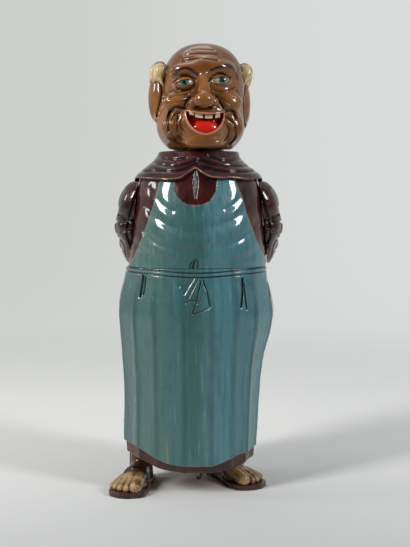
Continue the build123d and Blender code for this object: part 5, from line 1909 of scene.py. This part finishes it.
@dataclass
class Gearing:
    """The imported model's own gearing, crank and pins, with what repeats laid out anew.

    Attributes:
        place: where the head spindle stands.
        pegs: how many pegs the crown wheel has.
        staves: how many staves the pinion has.
        peg_radius: radius of a peg.
        stave_radius: radius of a stave.
        peg_ring: radius of the circle that the pegs stand on.
        stave_ring: radius of the circle of the staves.
    """

    place: Place
    pegs: int = 18
    staves: int = 9
    peg_radius: float = 1.1
    stave_radius: float = 1.2
    peg_ring: float = 18.0
    stave_ring: float = 9.0

    def build(self, frame: dict) -> None:
        """Dresses the carried-over nodes and lays out the pegs, staves and screws.

        Args:
            frame: the loaded frame.
        """
        steel = (colour(168, 164, 158), colour(96, 84, 74))
        brass = (colour(206, 168, 96), colour(122, 84, 44))
        steel_up = Metal("drawn_steel_upright", *steel, (1800, 1800, 60)).build()
        steel_back = Metal("drawn_steel_lying", *steel, (1800, 60, 1800)).build()
        brass_up = Metal("turned_brass_upright", *brass, (60, 60, 2400)).build()
        brass_back = Metal("turned_brass_lying", *brass, (60, 2400, 60)).build()
        beech = PlainWood("turned_beech", colour(196, 158, 112), colour(140, 98, 60), (60, 420, 420)).build()
        birch = PlainWood("dowel_birch", colour(206, 176, 134), colour(158, 120, 80), (500, 500, 50)).build()
        box = PlainWood("burnished_boxwood", colour(186, 140, 82), colour(116, 74, 38), (700, 700, 90),
                        0.34).build()
        finishes = {
            "head_spindle": steel_up, "crown_pin": steel_back, "split_pin": steel_back,
            "crank_shaft": steel_back, "pinion_pin": steel_up, "knob_pin": steel_back,
            "neck_bush": brass_up, "lower_bush": brass_up,
            "retaining_washer": brass_up, "front_bush": brass_back, "rear_bush": brass_back,
            "thrust_spacer": brass_back, "crank_spacer": brass_back, "crank_nut": brass_back,
            "bearing_post": birch, "crown_wheel": beech, "pinion_bobbin": beech, "waist_dowels": birch,
            "arm_dowels": birch, "leg_dowels": birch, "felt_washer": PressedFelt().build()}
        for name, paint in finishes.items():
            for held in frame["nodes"][name].material_slots:
                held.material = paint
            LOG.info("%s: %s", name, paint.name)
        self.lay_pegs(box)
        self.lay_staves(steel_back)
        self.lay_screws(brass_back)

    def settle_in(self, piece: bpy.types.Object, node: str) -> None:
        """Sets a laid out piece in its node's place, on its body."""
        smooth_sides(piece.data)
        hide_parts(node)
        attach(piece, self.place.body_of(node))
        LOG.info("%s: %d faces", piece.name, len(piece.data.polygons))

    def lay_pegs(self, paint: bpy.types.Material) -> None:
        """Lays out the crown wheel's pegs, each with a rounded lower end."""
        low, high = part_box("crown_pegs")
        centre = self.place.point(0, 0, 0)
        r = self.peg_radius * MM
        plan = Layout("crown_pegs_laid", {
            "Count": self.pegs, "Ring": self.peg_ring * MM, "Radius": r, "Length": high.z - low.z - 0.7 * r,
            "Place": (centre.x, centre.y, (high.z + low.z + 0.7 * r) / 2), "Turn": (0.0, 0.0, 0.0)})
        shank = plan.rounded_rod()
        cap = plan.node("GeometryNodeMeshUVSphere", None, {"Segments": 24, "Rings": 12, "Radius": "Radius"})
        drop = plan.node("ShaderNodeMath", {"operation": "MULTIPLY"}, {0: "Length", 1: -0.5})
        end = plan.node("ShaderNodeCombineXYZ", None, {"Z": drop.outputs[0]})
        dome = plan.node("GeometryNodeTransform", None, {
            "Geometry": cap.outputs[0], "Translation": end.outputs[0], "Scale": (0.98, 0.98, 0.7)})
        joined = plan.node("GeometryNodeMeshBoolean", {"operation": "UNION", "solver": "EXACT"}, {})
        for part in (shank, dome.outputs[0]):
            plan.tree.links.new(part, joined.inputs["Mesh 2"])
        self.settle_in(plan.bake(plan.ring(joined.outputs[0]), paint), "crown_pegs")

    def lay_staves(self, paint: bpy.types.Material) -> None:
        """Lays out the pinion's steel staves, the first one on top."""
        low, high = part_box("pinion_staves")
        centre = self.place.point(0, 0, SHAFT_HEIGHT)
        plan = Layout("pinion_staves_laid", {
            "Count": self.staves, "Ring": self.stave_ring * MM, "Radius": self.stave_radius * MM,
            "Length": high.y - low.y, "Place": (centre.x, (low.y + high.y) / 2, centre.z),
            "Turn": (math.radians(90), math.radians(-90), 0.0)})
        self.settle_in(plan.bake(plan.ring(plan.rounded_rod()), paint), "pinion_staves")

    def lay_screws(self, paint: bpy.types.Material) -> None:
        """Lays out the cover's slotted screws, each turned home at its own angle."""
        low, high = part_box("cover_screws")
        head = 1.6 * MM
        centre = self.place.point(0, 0, (SCREWS[0][1] + SCREWS[2][1]) / 2)
        plan = Layout("cover_screws_laid", {
            "Across": (SCREWS[1][0] - SCREWS[0][0]) * MM, "Up": (SCREWS[2][1] - SCREWS[0][1]) * MM,
            "Radius": SCREW_RADIUS * MM, "Length": high.y - low.y - head, "Head": 2.8 * MM, "Thickness": head,
            "Place": (centre.x, high.y, centre.z), "Turn": (math.radians(-90), 0.0, 0.0)})
        half = plan.node("ShaderNodeMath", {"operation": "MULTIPLY"}, {0: "Length", 1: -0.5})
        below = plan.node("ShaderNodeMath", {"operation": "SUBTRACT"}, {0: half.outputs[0], 1: "Thickness"})
        down = plan.node("ShaderNodeCombineXYZ", None, {"Z": below.outputs[0]})
        shank = plan.node("GeometryNodeTransform", None, {
            "Geometry": plan.rounded_rod(), "Translation": down.outputs[0]})
        disc = plan.node("GeometryNodeMeshCone", {"fill_type": "NGON"}, {
            "Vertices": 40, "Radius Top": 2.45 * MM, "Radius Bottom": "Head", "Depth": "Thickness"})
        under = plan.node("ShaderNodeMath", {"operation": "MULTIPLY"}, {0: "Thickness", 1: -1.0})
        seat = plan.node("ShaderNodeCombineXYZ", None, {"Z": under.outputs[0]})
        cap = plan.node("GeometryNodeTransform", None, {
            "Geometry": disc.outputs["Mesh"], "Translation": seat.outputs[0]})
        whole = plan.node("GeometryNodeMeshBoolean", {"operation": "UNION", "solver": "EXACT"}, {})
        for part in (shank.outputs[0], cap.outputs[0]):
            plan.tree.links.new(part, whole.inputs["Mesh 2"])
        slot = plan.node("GeometryNodeMeshCube", None, {"Size": (7.0 * MM, 0.7 * MM, 1.3 * MM)})
        slotted = plan.node("GeometryNodeMeshBoolean", {"operation": "DIFFERENCE", "solver": "EXACT"}, {
            "Mesh 1": whole.outputs[0], "Mesh 2": slot.outputs[0]})
        corners = plan.node("GeometryNodeMeshGrid", None, {
            "Size X": "Across", "Size Y": "Up", "Vertices X": 2, "Vertices Y": 2})
        spin = plan.node("FunctionNodeRandomValue", {"data_type": "FLOAT_VECTOR"}, {
            "Min": (0.0, 0.0, 0.0), "Max": (0.0, 0.0, math.pi), "Seed": 4})
        copies = plan.node("GeometryNodeInstanceOnPoints", None, {
            "Points": corners.outputs["Mesh"], "Instance": slotted.outputs[0], "Rotation": spin.outputs[0]})
        self.settle_in(plan.bake(copies.outputs[0], paint), "cover_screws")


def smooth_sides(mesh: bpy.types.Mesh) -> None:
    """Shades a mesh smooth, but for its corners sharper than 35 degrees."""
    mesh.polygons.foreach_set("use_smooth", np.ones(len(mesh.polygons), bool))
    mesh.set_sharp_from_angle(angle=math.radians(35))


def carved(place: Place, subparts: list[dict]) -> None:
    """Cuts the carved and turned pieces and paints them.

    Args:
        place: where the head spindle stands.
        subparts: the record's nodes with their material slots.
    """
    habit = Habit("skirt_carving", "skirt", (-58, -44, 15), (55, 40, 150), 0.82)
    cover = BackCover("cover_carving", "back_cover", (-30, 27, 43), (30, 40, 121), 0.8, block_form=habit)
    chest = Chest("torso_carving", "torso", (-50, -43, 148.5), (50, 38, 226), 0.72)
    pieces = [
        (habit, HabitPaint().build(True)), (cover, HabitPaint().build(True)),
        (chest, HabitPaint().build(True)),
        (Arm("arm_left_carving", "arm_left", (-60, -18, 149), (0.5, 55, 207), 0.62, side=Side.LEFT),
         HabitPaint().build(False)),
        (Arm("arm_right_carving", "arm_right", (-0.5, -18, 149), (60, 55, 207), 0.62, side=Side.RIGHT),
         HabitPaint().build(False)),
        (Foot("foot_left_carving", "foot_left", (-66, -44, -0.5), (-26, 14, 24), 0.5,
              place=ANKLES[0], turn=-13.0), FootPaint().build()),
        (Foot("foot_right_carving", "foot_right", (0, -30, -0.5), (54, 30, 24), 0.5,
              place=ANKLES[1], turn=33.0, flip=-1.0), FootPaint().build()),
        (Head("head_carving", "head", (-38, -48, 225.9), (40, 42, 298), 0.58), StainedFace().build()),
        (NeckDisc("neck_disc_turned", "neck_disc", (-17, -17, 225.7), (17, 17, 228.1), 0.4), TurnedPaint(
            "dark_turned_disc", colour(52, 26, 14), colour(20, 9, 5), colour(96, 56, 30),
            (60, 500, 500)).build()),
        (CrankArm("crank_arm_pared", "crank_arm", (-8, 39.3, 42.4), (8, 45.5, 84.1), 0.42), TurnedPaint(
            "stained_crank_arm", colour(132, 82, 42), colour(62, 32, 14), colour(176, 126, 78),
            (600, 600, 60)).build()),
        (CrankKnob("crank_knob_turned", "crank_knob", (-6.6, 45.6, 41.4), (6.6, 63.8, 54.6),
                   0.4), TurnedPaint(
            "dark_turned_knob", colour(58, 27, 18), colour(20, 9, 6), colour(122, 74, 44),
            (500, 70, 500)).build())]
    slots = {row["node"]: row["material_slot"] for row in subparts}
    for carving, paint in pieces:
        piece = carving.cut(place)
        piece.data.materials.append(paint)


# ------------------------------------------------------------------ stage, lights and camera
@dataclass(frozen=True)
class Lamp:
    """One soft window: where it is, its size, its strength and its tint."""

    name: str
    place: Trio
    size: Pair
    power: float
    tint: Trio = (1.0, 1.0, 1.0)


@dataclass
class Studio:
    """A pale dish that the figure stands in, with its windows and camera.

    Attributes:
        camera: camera's place about the spindle, in millimetres.
        pitch: how far the camera looks down, in degrees.
        lens: its focal length for a sensor 36 mm high.
        lamps: the windows.
    """

    camera: Trio = (4.3, -700.0, 198.6)
    pitch: float = 4.52
    lens: float = 68.27
    lamps: tuple[Lamp, ...] = (
        Lamp("window_left", (-860, -700, 780), (260, 460), 13.5, (1.0, 0.99, 0.98)),
        Lamp("window_left_side", (-1100, 60, 600), (200, 260), 2.2),
        Lamp("window_right", (900, -620, 700), (220, 420), 8.5, (0.96, 0.98, 1.0)),
        Lamp("overhead", (-200, 500, 1500), (900, 900), 3.4))

    def build(self, place: Place) -> None:
        """Sets up the dish, windows, sky and camera.

        Args:
            place: where the head spindle stands.
        """
        self.dish()
        for lamp in self.lamps:
            self.window(lamp, place)
        self.sky()
        self.look(place)

    def dish(self) -> bpy.types.Object:
        """Makes the floor, curved up all round into a wall."""
        profile = [(0.0, 0.0), (0.4, 0.0), (0.8, 0.0), (1.5, 0.0)]
        profile += [(1.5 + 0.9 * math.sin(a), 0.9 - 0.9 * math.cos(a))
                    for a in np.linspace(0.1, math.pi / 2, 14)]
        profile.append((2.4, 2.8))
        work = bmesh.new()
        turns = 96
        rings = []
        for radius, height in profile[1:]:
            rings.append([work.verts.new((radius * math.cos(2 * math.pi * k / turns),
                                          radius * math.sin(2 * math.pi * k / turns), height))
                          for k in range(turns)])
        work.faces.new(rings[0])
        for low, high in zip(rings, rings[1:]):
            for k in range(turns):
                work.faces.new((low[k], low[(k + 1) % turns], high[(k + 1) % turns], high[k]))
        bmesh.ops.recalc_face_normals(work, faces=work.faces)
        mesh = bpy.data.meshes.new("sweep")
        work.to_mesh(mesh)
        work.free()
        mesh.polygons.foreach_set("use_smooth", np.ones(len(mesh.polygons), bool))
        mesh.materials.append(self.paper())
        sweep = bpy.data.objects.new("sweep", mesh)
        bpy.context.scene.collection.objects.link(sweep)
        return sweep

    def paper(self) -> bpy.types.Material:
        """Pale paper round the figure, that fades to a pale glowing wall far behind it, painted lighter on the
        right than on the left.
        """
        b = Bench("pale_sweep")
        x, y = b.axis("X"), b.axis("Y")
        cloud = b.noise((3, 3, 3), 2.0)
        behind = y.step(-700.0, 300.0)
        tone = b.mix(colour(230, 230, 227), colour(223, 224, 222), cloud)
        tone = b.mix(colour(96, 97, 100), tone, behind)
        b.finish(tone, 0.9, Specular_IOR_Level=0.1)
        ray = b.node("ShaderNodeLightPath")
        seen = Signal(b, ray.outputs["Is Camera Ray"]).most(Signal(b, ray.outputs["Is Transmission Ray"]))
        seen = seen.most(Signal(b, ray.outputs["Is Glossy Ray"]) * behind * 0.4)
        far = ((x * x + y * y) ** 0.5).step(150.0, 900.0)
        # Painted light on the wall: its glow runs from darker on the left to paler on the right.
        left, right = colour(205, 207, 204), colour(218, 220, 219)
        wall = b.mix(left, right, x.step(-500.0, 500.0))
        glow = b.node("ShaderNodeEmission", None, {"Color": wall, "Strength": 1.0})
        blend = b.node("ShaderNodeMixShader", None, {
            0: far * seen, 1: b.shader.outputs[0], 2: glow.outputs[0]})
        b.tree.links.new(blend.outputs[0], b.out.inputs["Surface"])
        return b.material

    def window(self, lamp: Lamp, place: Place) -> None:
        """Hangs one soft window that faces the figure's chest."""
        light = bpy.data.lights.new(lamp.name, "AREA")
        light.shape = "RECTANGLE"
        light.size, light.size_y = lamp.size[0] * MM, lamp.size[1] * MM
        light.energy = lamp.power
        light.color = lamp.tint
        holder = bpy.data.objects.new(lamp.name, light)
        holder.location = place.point(*lamp.place)
        aim = place.point(0, 0, 170) - holder.location
        holder.rotation_euler = aim.to_track_quat("-Z", "Y").to_euler()
        bpy.context.scene.collection.objects.link(holder)

    def sky(self) -> None:
        """Gives an even pale sky."""
        world = bpy.data.worlds.new("pale_room")
        world.use_nodes = True
        back = world.node_tree.nodes["Background"]
        back.inputs["Color"].default_value = (0.93, 0.96, 1.0, 1)
        back.inputs["Strength"].default_value = 0.42
        bpy.context.scene.world = world

    def look(self, place: Place) -> None:
        """Sets the camera at the photograph's place."""
        data = bpy.data.cameras.new("camera")
        data.sensor_fit = "VERTICAL"
        data.sensor_height = 36.0
        data.lens = self.lens
        data.clip_start, data.clip_end = 0.01, 20.0
        camera = bpy.data.objects.new("camera", data)
        camera.location = place.point(*self.camera)
        camera.rotation_euler = (math.radians(90 - self.pitch), 0, 0)
        bpy.context.scene.collection.objects.link(camera)
        bpy.context.scene.camera = camera
        bpy.context.scene.view_settings.view_transform = "Standard"


def main() -> None:
    """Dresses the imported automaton, from the floor up, and sets it on its stage."""
    logging.basicConfig(level=logging.INFO, format="%(name)s: %(message)s")
    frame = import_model()
    joint = next(j for j in frame["record"]["behaviour"]["joints"] if j["name"] == "head_turn")
    bodies = {node: body for body, nodes in frame["record"]["behaviour"]["bodies"].items() for node in nodes}
    place = Place((joint["pos_m"][0], joint["pos_m"][1]), bodies)
    carved(place, frame["record"]["subparts"])
    Gearing(place).build(frame)
    Studio().build(place)


if __name__ == "__main__":
    main()
